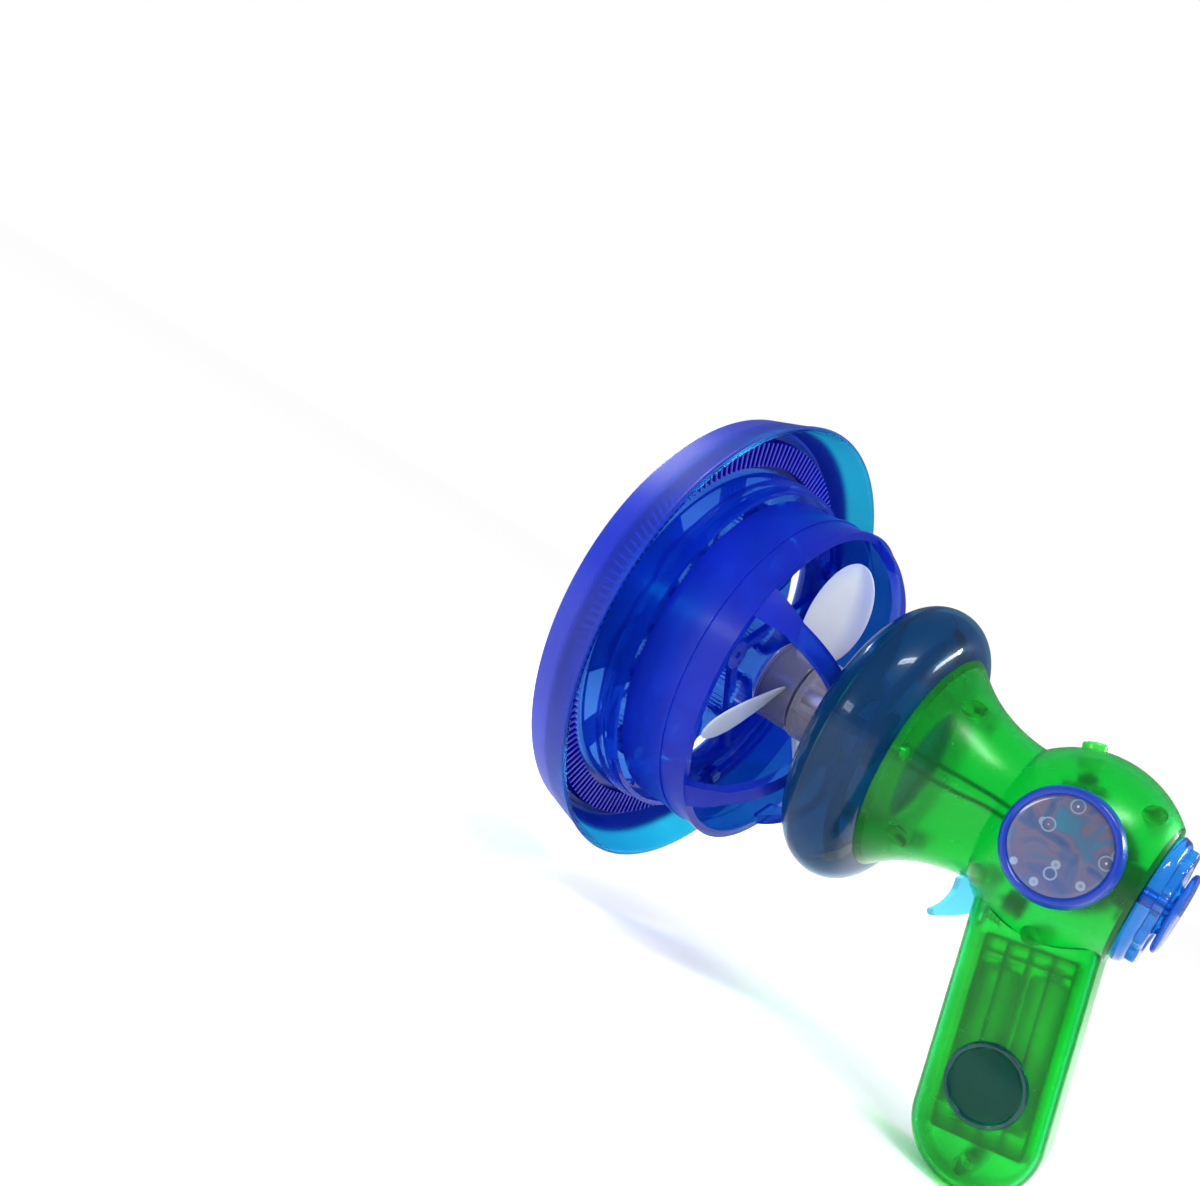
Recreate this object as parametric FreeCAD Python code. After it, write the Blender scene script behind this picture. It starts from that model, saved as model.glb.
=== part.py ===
"""Hand-held bubble machine: a fan in a guard blows air through a wand plate set in a big rim.

Frame: +X is the way the bubbles leave, +Y is the toy's left, +Z is up.  The barrel's axis is X,
and the origin is the middle of the front face.  Sizes are millimetres and angles are degrees.
"""
import FreeCAD, Part
import math
import os

from FreeCAD import Placement, Rotation, Vector

# ---- head: rim, comb and wand plate
RIM_RADIUS = 95.0            # widest place, at the rim's rear edge
RIM_TAPER = 4.9              # how much smaller the front edge's radius is
RIM_DEPTH = 22.4
RIM_WALL = 2.0
RIM_LIP = 2.0                # thickness of the front lip that the comb ring seats behind
RIM_GAP = 4.1                # free ring between the comb's fins and the rim's wall
COMB_BAND = 9.9              # height of the fins
COMB_FINS = 168
COMB_FIN_SHARE = 0.5         # share of each fin's pitch that is solid
COMB_FIN_DEPTH = 4.0
COMB_BASE = 2.0
COMB_ROOT = 2.4              # solid ring inside the fins
PLATE_WALL = 1.8
PLATE_DEPTH = 15.0           # rear edge of the wand plate's outer wall
PLATE_WEB = 2.0
PLATE_WEB_BACK = 4.0         # the web's front face stands this far behind the front face
WAND_RADIUS = 12.0           # outside of each small wand ring
WAND_WALL = 1.6
WAND_TEETH = 30
WAND_TOOTH = 1.2
WAND_DEPTH = 12.0
WAND_PITCH_MIN = 32.5        # room that each wand ring takes along its pitch circle
NOSE_RADIUS = 9.0            # flat boss in the middle of the wand plate

# ---- fan, guard and drum
FAN_RADIUS = 55.0
FAN_TIP_GAP = 9.2
BLADES = 3
BLADE_HALF_CHORD = 14.5
BLADE_THICK = 1.6
BLADE_PITCH = -28.0
FIRST_BLADE = 90.0           # angle of the first blade, from +Y towards +Z
HUB_RADIUS = 16.0
HUB_LENGTH = 15.2
NOSE_CAP_LENGTH = 7.3
CAP_WALL = 1.6
GUARD_WALL = 1.8
GUARD_DEPTH = 31.2           # length of the guard's round wall behind the drum's rear edge
GUARD_LEGS = 5
LEG_HALF_WIDTH = 3.5
LEG_ROOT_HALF_WIDTH = 7.5
LEG_FLARE = 9.0              # a leg starts to widen this far inside the guard's wall
LEG_THICK = 3.0
LEG_REACH = 24.5             # from the guard's rear edge to the back of its hub disc
LEG_BULGE = 9.0
HUB_DISC_RADIUS = 20.0
HUB_DISC_THICK = 3.0
NECK_LENGTH = 4.0            # from the guard's hub disc to the collar
DRUM_STEP = 4.4              # the drum's rear edge stands this far outside the guard
DRUM_OVERHANG = 0.8          # the drum's rear edge stands this far behind the rim's
DRUM_WALL = 1.8
DRUM_WEB = 2.0
DRUM_FLANGE = 1.0            # front flange that the wand plate's wall stands on
DRUM_WEB_INSET = 5.2         # from the drum's rear edge to the back of its web
DRUM_WEB_WIDTH = 12.0        # how far the web reaches inside the guard's radius
BOSS_ANGLE = 55.0            # screw bosses stand at plus and minus this, and mirrored
BOSS_RADIUS = 4.0
WINDOW_OFFSET = 16.0         # angle from a boss to the middle of the window beside it
WINDOW_HALF_ANGLE = 10.5
BRACE_THICK = 3.0
BRACE_ARM = 4.0
BRACE_HUB_RADIUS = 6.0

# ---- motor
MOTOR_RADIUS = 12.0
MOTOR_LENGTH = 30.0
MOTOR_NOSE_RADIUS = 3.0
MOTOR_NOSE_LENGTH = 2.0
MOTOR_CAP_LENGTH = 2.5
VENT_DEPTH = 1.5
VENT_SIZE = 6.0
TAG_OFFSET = 7.0             # the two solder tags stand this far to each side
TAG_LENGTH = 3.0
TAG_WIDTH = 2.4
TAG_THICK = 0.6
SHAFT_RADIUS = 1.0
SHAFT_IN_MOTOR = 8.0
HOUSING_GAP = 3.2            # ring between the motor and its housing, crossed by ribs
HOUSING_WALL = 1.5
HOUSING_SLOT = 6.0           # width of the slot that shows the motor
SPIN_GAP = 1.5               # between the fan hub and the motor housing

# ---- collar
COLLAR_RADIUS = 55.5
COLLAR_TUBE = 14.5
COLLAR_WALL = 1.8
COLLAR_PARTING = 5.0         # the parting line stands this far in front of the fattest place
COLLAR_HOLE = 22.0           # lead hole through the collar's back and the horn's bulkhead
LENSES = 3
LENS_LENGTH = 13.0
LENS_WIDTH = 7.0
BOARD_THICK = 1.6

# ---- body: horn, ball and grip
HORN_FRONT_RADIUS = 42.6
HORN_WAIST_RADIUS = 26.4
HORN_SAG = 3.6               # how far the horn's curve hangs inside the straight line
HORN_LENGTH = 60.5           # from the collar's back to the ball's centre
BALL_RADIUS = 36.2
BALL_SIDE_FLAT = 31.0        # half width across the ball's flats, where the badges sit
BALL_REAR_FLAT = 25.9        # from the ball's centre to its flat back
BODY_WALL = 2.0
GRIP_HALF_WIDTH = 21.8
GRIP_HALF_THICK = 18.0
GRIP_LENGTH = 75.0           # from the grip's upper centre to the centre of its round end
GRIP_RAKE = 14.4
GRIP_EDGE = 8.0              # rounding of the grip's side edges
GRIP_TOP_DROP = 19.0         # the grip's upper centre lies this far below the ball's centre
GRIP_TOP_BACK = 1.4
BADGE_RADIUS = 19.7
BADGE_RIM = 3.5
BADGE_HEIGHT = 4.5
BADGE_DISC_THICK = 1.4
BADGE_RECESS = 0.9           # the picture disc lies this far below the bezel's top
WINDOW_RADIUS = 13.7
WINDOW_RIM = 2.6
WINDOW_HEIGHT = 1.6
WINDOW_ALONG = 14.0          # from the centre of the grip's round end up to the round window

# ---- controls
TRIGGER_HALF_THICK = 5.0
TRIGGER_TRAVEL = 14.0
TRIGGER_BOSS = 4.5
TRIGGER_ANGLE = -47.2        # direction from the ball's centre to the trigger's pin
PIN_RADIUS = 1.5
BUTTON_RADIUS = 4.2
BUTTON_TILT = 19.0
BUTTON_PROUD = 2.4
BUTTON_TRAVEL = 1.2
BUTTON_FLANGE = 1.3
BUTTON_SKIRT = 4.6
SWITCH_SIZE = 6.0
SWITCH_HEIGHT = 4.0
DIAL_RADIUS = 23.5
DIAL_DEPTH = 7.3
DIAL_LOBES = 10
DIAL_LOBE = 1.0
DIAL_CAP_RADIUS = 15.0
DIAL_CAP_DEPTH = 2.6
DIAL_NECK_RADIUS = 9.0
DIAL_NECK = 1.4
DIAL_SHAFT_RADIUS = 3.0
POT_RADIUS = 8.0
POT_LENGTH = 7.0

# ---- power
CELL_RADIUS = 7.25
CELL_LENGTH = 49.5
CELL_NUB = 1.0
CELL_GAP = 1.9               # between the two cells
BAY_WALL = 1.5
BAY_SIDE = 1.0               # from a cell to the bay's side wall
BAY_END = 6.0                # room for a contact at each end of the cells
CELL_SIDE_OFFSET = 4.0       # the cells' centres stand this far to the toy's right
DOOR_MARGIN = 1.2            # the door is this much larger than the cells all round
DOOR_SCREW_UP = 5.0          # from the bay's top to the door's screw

# ---- fasteners, fits and leads
SCREW_RADIUS = 1.1
SCREW_HEAD_RADIUS = 2.5
SCREW_HEAD_HEIGHT = 1.5
POST_RADIUS = 3.4
RUN_FIT = 0.05               # radial clearance of a shaft or screw that moves in its hole
SEAT = 0.05                  # gap between pieces of one body that seat on each other
MOVE_GAP = 0.4               # clearance round pieces that travel
LEAD_RADIUS = 0.8
WIRE_RADIUS = 0.4

# ---- places along the barrel, worked out from the front face backwards
X_AXIS = Vector(1, 0, 0)
Y_AXIS = Vector(0, 1, 0)
Z_AXIS = Vector(0, 0, 1)
FAR = 400.0

rim_front_radius = RIM_RADIUS - RIM_TAPER
comb_tip = rim_front_radius - RIM_WALL - RIM_GAP
comb_root = comb_tip - COMB_BAND
comb_inner = comb_root - COMB_ROOT
plate_radius = comb_inner - SEAT
guard_inner = FAN_RADIUS + FAN_TIP_GAP
guard_radius = guard_inner + GUARD_WALL
drum_radius = guard_radius + DRUM_STEP
drum_web_inner = guard_radius - DRUM_WEB_WIDTH
drum_rear = -RIM_DEPTH - DRUM_OVERHANG
drum_web_back = drum_rear + DRUM_WEB_INSET
boss_circle = guard_inner - SCREW_HEAD_RADIUS - 0.4
guard_rear = drum_rear - GUARD_DEPTH
fan_middle = guard_rear + HUB_LENGTH / 2.0 - 5.6
hub_front = fan_middle + HUB_LENGTH / 2.0
hub_back = fan_middle - HUB_LENGTH / 2.0
housing_front = hub_back - SPIN_GAP
disc_back = guard_rear - LEG_REACH
disc_front = disc_back + HUB_DISC_THICK
motor_front = housing_front - HOUSING_WALL - SEAT
motor_back = motor_front - MOTOR_LENGTH
housing_radius = MOTOR_RADIUS + HOUSING_GAP + HOUSING_WALL
collar_front = disc_back - NECK_LENGTH
collar_middle = collar_front - COLLAR_TUBE
collar_back = collar_middle - COLLAR_TUBE
collar_ring = COLLAR_RADIUS - COLLAR_TUBE
ball_x = collar_back - HORN_LENGTH
ball_back = ball_x - BALL_REAR_FLAT
BALL = Vector(ball_x, 0, 0)
grip_top = Vector(ball_x - GRIP_TOP_BACK, 0, -GRIP_TOP_DROP)
GRIP_TURN = Rotation(Y_AXIS, GRIP_RAKE)
grip_end = grip_top - GRIP_TURN.multVec(Z_AXIS) * GRIP_LENGTH
GRIP = Placement(grip_end, GRIP_TURN)


# ---- small helpers
def polar(radius, angle, x=0.0):
    """A point at a radius and an angle about X, the angle counted from +Y towards +Z."""
    turn = math.radians(angle)
    return Vector(x, radius * math.cos(turn), radius * math.sin(turn))


def rod(start, direction, radius, length):
    """A round bar from a point along a direction."""
    return Part.makeCylinder(radius, length, start, direction)


def tube(back, front, outer, inner):
    """A ring about X between two places along it."""
    length = front - back
    outside = Part.makeCylinder(outer, length, Vector(back, 0, 0), X_AXIS)
    return outside.cut(Part.makeCylinder(inner, length, Vector(back, 0, 0), X_AXIS))


def disc(back, front, radius):
    """A solid disc about X between two places along it."""
    return Part.makeCylinder(radius, front - back, Vector(back, 0, 0), X_AXIS)


def block(low, high):
    """A box between two corners, each given as x, y, z."""
    size = [high[i] - low[i] for i in range(3)]
    return Part.makeBox(size[0], size[1], size[2], Vector(*low))


def face_of(edges):
    """A flat face inside a closed run of edges."""
    return Part.Face(Part.Wire([edge.toShape() for edge in edges]))


def line(a, b):
    return Part.LineSegment(a, b)


def lathe(points):
    """The solid of a closed outline of (x, radius) corners turned about X."""
    corners = [Vector(x, r, 0) for x, r in points]
    outline = Part.makePolygon(corners + corners[:1])
    return Part.Face(outline).revolve(Vector(0, 0, 0), X_AXIS, 360)


def star_wire(x, count, tip, root, share):
    """A closed outline about X whose radius steps between root and tip, count times round."""
    step = 360.0 / count
    half = step * share / 2.0
    corners = []
    for i in range(count):
        middle = i * step
        corners.append(polar(root, middle - half, x))
        corners.append(polar(tip, middle - half, x))
        corners.append(polar(tip, middle + half, x))
        corners.append(polar(root, middle + half, x))
    return Part.makePolygon(corners + corners[:1])


def circle_wire(x, radius):
    return Part.Wire(Part.Circle(Vector(x, 0, 0), X_AXIS, radius).toShape())


def lobed(back, front, radius, depth, lobes):
    """A flat knob about X whose smooth edge waves in and out."""
    steps = lobes * 8
    points = []
    for i in range(steps):
        angle = 360.0 * i / steps
        wave = radius - depth + depth * math.cos(math.radians(angle * lobes))
        points.append(polar(wave, angle, back))
    edge = Part.BSplineCurve()
    edge.interpolate(points, True)
    return Part.Face(Part.Wire(edge.toShape())).extrude(Vector(front - back, 0, 0))


def sector(back, front, inner, outer, first, last):
    """A ring segment about X between two radii and two angles."""
    middle = (first + last) / 2.0
    edges = [Part.Arc(polar(outer, first, back), polar(outer, middle, back), polar(outer, last, back)),
             line(polar(outer, last, back), polar(inner, last, back)),
             Part.Arc(polar(inner, last, back), polar(inner, middle, back), polar(inner, first, back)),
             line(polar(inner, first, back), polar(outer, first, back))]
    return face_of(edges).extrude(Vector(front - back, 0, 0))


def turned(shape, angle, centre=Vector(0, 0, 0), axis=X_AXIS):
    """A copy of a shape turned about an axis."""
    copy = shape.copy()
    copy.rotate(centre, axis, angle)
    return copy


def in_grip(shape):
    """Move a shape from the grip's own frame: x forwards, z up the grip, zero at its round end."""
    copy = shape.copy()
    copy.Placement = GRIP.multiply(copy.Placement)
    return copy


def grip_point(x, y, z):
    return GRIP.multVec(Vector(x, y, z))


def spring(start, direction, radius, wire, pitch, height):
    """A helical spring that stands on a point and runs along a direction."""
    helix = Part.makeHelix(pitch, height, radius)
    profile = Part.Wire(Part.Circle(Vector(radius, 0, 0), Y_AXIS, wire).toShape())
    coil = Part.Wire(helix.Edges).makePipeShell([profile], True, True)
    coil.Placement = Placement(start, Rotation(Z_AXIS, direction))
    return coil


def lead(points, radius):
    """A wire along straight runs joined by arcs that touch both runs."""
    edges = []
    start = points[0]
    for i in range(1, len(points) - 1):
        corner = points[i]
        before = points[i - 1] - corner
        after = points[i + 1] - corner
        reach = 0.45 * min(before.Length, after.Length)
        enter = corner + before.normalize() * reach
        leave = corner + after.normalize() * reach
        half = before.getAngle(after) / 2.0
        bend = reach * math.tan(half)
        towards = (before + after).normalize()
        middle = corner + towards * (bend / math.sin(half) - bend)
        edges.append(line(start, enter).toShape())
        edges.append(Part.Arc(enter, middle, leave).toShape())
        start = leave
    edges.append(line(start, points[-1]).toShape())
    path = Part.Wire(edges)
    run = points[1] - points[0]
    profile = Part.Wire(Part.Circle(points[0], run, radius).toShape())
    return path.makePipeShell([profile], True, True)


def screw(seat, direction, length):
    """A pan-head screw whose head stands on a seat, with its shank along a direction."""
    head = rod(seat, direction * -1, SCREW_HEAD_RADIUS, SCREW_HEAD_HEIGHT)
    slot_depth = SCREW_HEAD_HEIGHT / 2.0
    shank = rod(seat, direction, SCREW_RADIUS, length)
    top = seat - direction * (SCREW_HEAD_HEIGHT - slot_depth)
    across = Vector(direction.z, direction.x, direction.y)
    other = direction.cross(across)
    cross = None
    for along in (across, other):
        side = direction.cross(along)
        corner = top - along * SCREW_RADIUS - side * 0.3
        edges = [corner, corner + along * 2 * SCREW_RADIUS,
                 corner + along * 2 * SCREW_RADIUS + side * 0.6, corner + side * 0.6]
        bar = Part.Face(Part.makePolygon(edges + edges[:1])).extrude(direction * -SCREW_HEAD_HEIGHT)
        cross = bar if cross is None else cross.fuse(bar)
    return head.fuse(shank).removeSplitter().cut(cross)


made = {}


def save(name, *solids):
    """Keep a node's solids and write its file."""
    shape = solids[0] if len(solids) == 1 else Part.makeCompound(list(solids))
    made[name] = shape
    shape.exportStep("parts/" + name + ".step")


# ---- the head
def outer_rim():
    """A wide tapered band, open behind, with a lip round its front."""
    lip_inner = comb_tip - COMB_BASE / 2.0
    return lathe([(-RIM_DEPTH, RIM_RADIUS), (0, rim_front_radius), (0, lip_inner),
                  (-RIM_LIP, lip_inner), (-RIM_LIP, rim_front_radius - RIM_WALL),
                  (-RIM_DEPTH, RIM_RADIUS - RIM_WALL)])


def comb_ring():
    """A ring of radial fins that holds a film of bubble liquid, on a flat base behind the lip."""
    base_front = -RIM_LIP - SEAT
    base_back = base_front - COMB_BASE
    base = tube(base_back, base_front, comb_tip + COMB_BASE, comb_inner)
    outline = star_wire(base_back - COMB_FIN_DEPTH, COMB_FINS, comb_tip, comb_root, COMB_FIN_SHARE)
    fins = Part.Face(outline).cut(Part.Face(circle_wire(base_back - COMB_FIN_DEPTH, comb_inner)))
    return base.fuse(fins.extrude(Vector(COMB_FIN_DEPTH, 0, 0)))


def wand_rings():
    """Centre angles and pitch radius of the small wand rings."""
    window_inner = plate_radius - PLATE_WALL - DRUM_WEB_WIDTH
    pitch = window_inner - 1.6 - WAND_RADIUS
    count = int(2 * math.pi * pitch / WAND_PITCH_MIN)
    return pitch, [(i + 0.5) * 360.0 / count for i in range(count)]


def wand_plate():
    """A web with a ring of toothed wand rings, windows round its edge and a flat nose."""
    inner_wall = plate_radius - PLATE_WALL
    web_front = -PLATE_WEB_BACK
    web_back = web_front - PLATE_WEB
    pitch, angles = wand_rings()
    plate = tube(-PLATE_DEPTH, -RIM_LIP, plate_radius, inner_wall)
    plate = plate.fuse(disc(web_back, web_front, inner_wall + PLATE_WALL / 2.0))
    window_inner = inner_wall - DRUM_WEB_WIDTH
    cuts = []
    for boss in boss_angles():
        for side in (-WINDOW_OFFSET, WINDOW_OFFSET):
            middle = boss + side
            cuts.append(sector(web_back - 1, web_front + 1, window_inner, inner_wall - 1.5,
                               middle - WINDOW_HALF_ANGLE, middle + WINDOW_HALF_ANGLE))
    rings = []
    for angle in angles:
        hole = Part.makeCylinder(WAND_RADIUS - WAND_WALL / 2.0, 3 * PLATE_WEB,
                                 polar(pitch, angle, web_back - PLATE_WEB), X_AXIS)
        cuts.append(hole)
        outline = star_wire(-WAND_DEPTH, WAND_TEETH, WAND_RADIUS - WAND_WALL,
                            WAND_RADIUS - WAND_WALL - WAND_TOOTH, 0.5)
        ring = Part.Face(circle_wire(-WAND_DEPTH, WAND_RADIUS)).cut(Part.Face(outline))
        ring = ring.extrude(Vector(WAND_DEPTH - RIM_LIP, 0, 0))
        ring.translate(polar(pitch, angle))
        rings.append(ring)
    plate = plate.cut(cuts)
    plate = plate.fuse(rings)
    return plate.fuse(disc(-WAND_DEPTH, 0, NOSE_RADIUS)).removeSplitter()


def boss_angles():
    return [BOSS_ANGLE, 180 - BOSS_ANGLE, 180 + BOSS_ANGLE, -BOSS_ANGLE]


def head_drum():
    """The stepped drum between the fan guard and the wand plate."""
    inner_wall = drum_radius - DRUM_WALL
    plate_seat = -PLATE_DEPTH - SEAT
    web_front = drum_web_back + DRUM_WEB
    inside = min(inner_wall, plate_radius - PLATE_WALL)
    outside = max(drum_radius, plate_radius)
    drum = tube(drum_rear, plate_seat, drum_radius, inner_wall)
    drum = drum.fuse(tube(plate_seat - DRUM_FLANGE, plate_seat, outside, inside))
    drum = drum.fuse(tube(drum_web_back, web_front, inner_wall + DRUM_WALL / 2.0, drum_web_inner))
    drum = drum.fuse(tube(drum_rear, web_front, drum_web_inner + DRUM_WALL, drum_web_inner))
    cuts = []
    for boss in boss_angles():
        post = Part.makeCylinder(BOSS_RADIUS, drum_web_back - drum_rear + 1.0,
                                 polar(boss_circle, boss, drum_rear), X_AXIS)
        drum = drum.fuse(post)
        cuts.append(Part.makeCylinder(SCREW_RADIUS, DRUM_WEB_INSET + DRUM_WEB + 1,
                                      polar(boss_circle, boss, drum_rear - 1), X_AXIS))
        for side in (-WINDOW_OFFSET, WINDOW_OFFSET):
            middle = boss + side
            cuts.append(sector(drum_web_back - 1, web_front + 1, drum_web_inner + DRUM_WALL + 1.2,
                               inner_wall - 1.5, middle - WINDOW_HALF_ANGLE, middle + WINDOW_HALF_ANGLE))
    return drum.cut(cuts).removeSplitter()


def cross_brace():
    """An X of ribs in a ring, which keeps fingers off the fan from the front."""
    back = drum_rear + 0.5
    front = back + BRACE_THICK
    outer = drum_web_inner - SEAT
    brace = tube(back, front, outer, outer - 2.2)
    for angle in (45, 135):
        arm = block((back, -outer + 1, -BRACE_ARM / 2.0), (front, outer - 1, BRACE_ARM / 2.0))
        brace = brace.fuse(turned(arm, angle))
    brace = brace.fuse(disc(back - 1.0, front, BRACE_HUB_RADIUS))
    brace = brace.cut(disc(back - 2.0, front + 1.0, 1.6))
    return brace.removeSplitter()


def leg_profile(offset):
    """Three points of a leg's side view, moved inwards towards the fan by an offset."""
    rim = Vector(guard_rear + offset, guard_radius - offset, 0)
    hub = Vector(disc_back + offset, HUB_DISC_RADIUS - 1.0, 0)
    middle = (rim + hub) * 0.5
    across = Vector(hub.y - rim.y, rim.x - hub.x, 0)
    across.normalize()
    bulge = middle + Vector(across.x, abs(across.y), 0) * LEG_BULGE
    return rim, bulge, hub


def fan_guard():
    """A round wall with curved legs behind it that meet at a hub disc."""
    front = drum_rear - SEAT
    guard = tube(guard_rear, front, guard_radius, guard_inner)
    bead = GUARD_WALL / 3.0
    guard = guard.fuse(tube(guard_rear, guard_rear + 2.0, guard_radius + bead, guard_inner - bead))
    step = guard_rear + GUARD_DEPTH * 0.38
    guard = guard.fuse(tube(step, step + 1.2, guard_radius + bead, guard_inner))
    out_rim, out_mid, out_hub = leg_profile(0)
    in_rim, in_mid, in_hub = leg_profile(LEG_THICK)
    edges = [Part.Arc(out_rim, out_mid, out_hub), line(out_hub, in_hub),
             Part.Arc(in_hub, in_mid, in_rim), line(in_rim, out_rim)]
    bowl = face_of(edges).revolve(Vector(0, 0, 0), X_AXIS, 360)
    start = disc_back - FAR / 4.0
    wide = LEG_ROOT_HALF_WIDTH
    inside = HUB_DISC_RADIUS / 2.0
    outside = guard_radius + 3.0
    flare = guard_radius - LEG_FLARE
    sides = [(inside, LEG_HALF_WIDTH), (flare, LEG_HALF_WIDTH), (outside, wide),
             (outside, -wide), (flare, -LEG_HALF_WIDTH), (inside, -LEG_HALF_WIDTH)]
    corners = [Vector(start, y, z) for y, z in sides]
    strip = Part.Face(Part.makePolygon(corners + corners[:1])).extrude(X_AXIS * FAR)
    leg = bowl.common(strip)
    for i in range(GUARD_LEGS):
        guard = guard.fuse(turned(leg, 90.0 + i * 360.0 / GUARD_LEGS))
    hub = tube(disc_back, disc_front, HUB_DISC_RADIUS, MOTOR_RADIUS + SEAT)
    neck = tube(collar_front + SEAT, disc_back, MOTOR_RADIUS + 4.0, MOTOR_RADIUS + SEAT)
    guard = guard.fuse([hub, neck])
    cuts = []
    for boss in boss_angles():
        ear = Part.makeCylinder(BOSS_RADIUS, 2.0, polar(boss_circle, boss, front - 2.0), X_AXIS)
        guard = guard.fuse(ear)
        hole_start = polar(boss_circle, boss, front - 5.0)
        cuts.append(Part.makeCylinder(SCREW_RADIUS + MOVE_GAP, 10.0, hole_start, X_AXIS))
    cuts.extend(motor_screw_holes(disc_back - 1.0, disc_front + 1.0))
    for place in motor_screw_places():
        cuts.append(rod(place, X_AXIS * -1, SCREW_HEAD_RADIUS + MOVE_GAP, NECK_LENGTH + 1.0))
    return guard.cut(cuts).removeSplitter()


def motor_screw_places():
    """Two screws stand through the hub disc into the motor housing, above and below the motor."""
    circle = MOTOR_RADIUS + SCREW_HEAD_RADIUS + 0.4
    return [polar(circle, angle, disc_back) for angle in (90.0, 270.0)]


def motor_screw_holes(back, front):
    holes = []
    for place in motor_screw_places():
        start = Vector(back, place.y, place.z)
        holes.append(Part.makeCylinder(SCREW_RADIUS + RUN_FIT, front - back, start, X_AXIS))
    return holes


# ---- the fan and its motor
def fan_blades():
    """Three oval blades, set at a pitch, on a cup-shaped hub."""
    hub = disc(hub_back, hub_front, HUB_RADIUS)
    hub = hub.cut(disc(hub_back - 1, hub_front - CAP_WALL, HUB_RADIUS - CAP_WALL))
    sleeve = tube(hub_back, hub_front - CAP_WALL, 4.0, SHAFT_RADIUS)
    hub = hub.cut(disc(hub_back, hub_front + 1, SHAFT_RADIUS)).fuse(sleeve)
    root = HUB_RADIUS - 5.0
    half_length = (FAN_RADIUS - root) / 2.0
    oval = Part.Ellipse(Vector(0, 0, 0), max(half_length, BLADE_HALF_CHORD),
                        min(half_length, BLADE_HALF_CHORD))
    blade = Part.Face(Part.Wire(oval.toShape())).extrude(Vector(0, 0, BLADE_THICK))
    blade.translate(Vector(0, 0, -BLADE_THICK / 2.0))
    if half_length < BLADE_HALF_CHORD:
        blade.rotate(Vector(0, 0, 0), Z_AXIS, 90)
    blade.rotate(Vector(0, 0, 0), Y_AXIS, 90)
    blade.rotate(Vector(0, 0, 0), Z_AXIS, BLADE_PITCH)
    blade.translate(Vector(fan_middle, 0, root + half_length))
    blade = blade.cut(disc(hub_back - 20, hub_front + 20, HUB_RADIUS - CAP_WALL / 2.0))
    blades = [turned(blade, FIRST_BLADE - 90 + i * 360.0 / BLADES) for i in range(BLADES)]
    return hub.fuse(blades)


def fan_nose_cap():
    """The dome on the front of the fan's hub."""
    start = hub_front + SEAT
    radius = (NOSE_CAP_LENGTH ** 2 + HUB_RADIUS ** 2) / (2.0 * NOSE_CAP_LENGTH)
    centre = Vector(start + NOSE_CAP_LENGTH - radius, 0, 0)
    dome = Part.makeSphere(radius, centre).cut(Part.makeSphere(radius - CAP_WALL, centre))
    return dome.common(disc(start, start + FAR, HUB_RADIUS + 1))


def motor_can():
    can = disc(motor_back, motor_front, MOTOR_RADIUS)
    can = can.fuse(disc(motor_front, motor_front + MOTOR_NOSE_LENGTH - 0.6, MOTOR_NOSE_RADIUS))
    can = can.cut(disc(motor_front - SHAFT_IN_MOTOR, motor_front + 10, SHAFT_RADIUS + RUN_FIT))
    for side in (1, -1):
        wall = side * (MOTOR_RADIUS - VENT_DEPTH)
        low = (motor_back + VENT_DEPTH, wall - VENT_DEPTH, -VENT_SIZE / 2.0)
        high = (motor_back + VENT_DEPTH + VENT_SIZE, wall + VENT_DEPTH, VENT_SIZE / 2.0)
        can = can.cut(block(low, high))
    return can.removeSplitter()


def motor_end_cap():
    back = motor_back - MOTOR_CAP_LENGTH
    cap = disc(back, motor_back - SEAT, MOTOR_RADIUS - 0.6)
    cap = cap.fuse(disc(back - TAG_LENGTH / 2.0, motor_back - SEAT, MOTOR_NOSE_RADIUS))
    for side in (1, -1):
        low = (back - TAG_LENGTH, side * TAG_OFFSET - TAG_WIDTH / 2.0, -TAG_THICK / 2.0)
        high = (motor_back - 1.0, side * TAG_OFFSET + TAG_WIDTH / 2.0, TAG_THICK / 2.0)
        cap = cap.fuse(block(low, high))
    return cap.removeSplitter()


def motor_shaft():
    return disc(motor_front - SHAFT_IN_MOTOR + 0.5, hub_front - CAP_WALL, SHAFT_RADIUS)


def motor_housing():
    """A cup round the front of the motor, with ribs inside and a slot at each side."""
    back = disc_front + SEAT
    inner = housing_radius - HOUSING_WALL
    cup = tube(back, housing_front, housing_radius, inner)
    cup = cup.fuse(tube(housing_front - HOUSING_WALL, housing_front, inner + 0.5, MOTOR_NOSE_RADIUS + 0.3))
    for i in range(6):
        rib = block((back, MOTOR_RADIUS + SEAT, -0.8), (housing_front, inner + 0.5, 0.8))
        cup = cup.fuse(turned(rib, 30.0 + 60.0 * i))
    for place in motor_screw_places():
        start = Vector(back, place.y, place.z)
        post = Part.makeCylinder(2 * SCREW_RADIUS, 8.0, start, X_AXIS)
        cup = cup.fuse(post.cut(disc(back - 1, back + 20, MOTOR_RADIUS + SEAT)))
    for side in (1, -1):
        slot = block((back + 3.0, min(side * 5.0, side * 40.0), -HOUSING_SLOT / 2.0),
                     (housing_front - 3.0, max(side * 5.0, side * 40.0), HOUSING_SLOT / 2.0))
        cup = cup.cut(slot)
    cup = cup.cut(motor_screw_holes(back - 1.0, back + 7.0))
    return cup.removeSplitter()


def motor_screws():
    return [screw(place - X_AXIS * SEAT, X_AXIS, HUB_DISC_THICK + 6.0) for place in motor_screw_places()]


def head_screws():
    seat = drum_rear - SEAT - 2.0 - SEAT
    return [screw(polar(boss_circle, boss, seat), X_AXIS, 8.0) for boss in boss_angles()]


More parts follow.
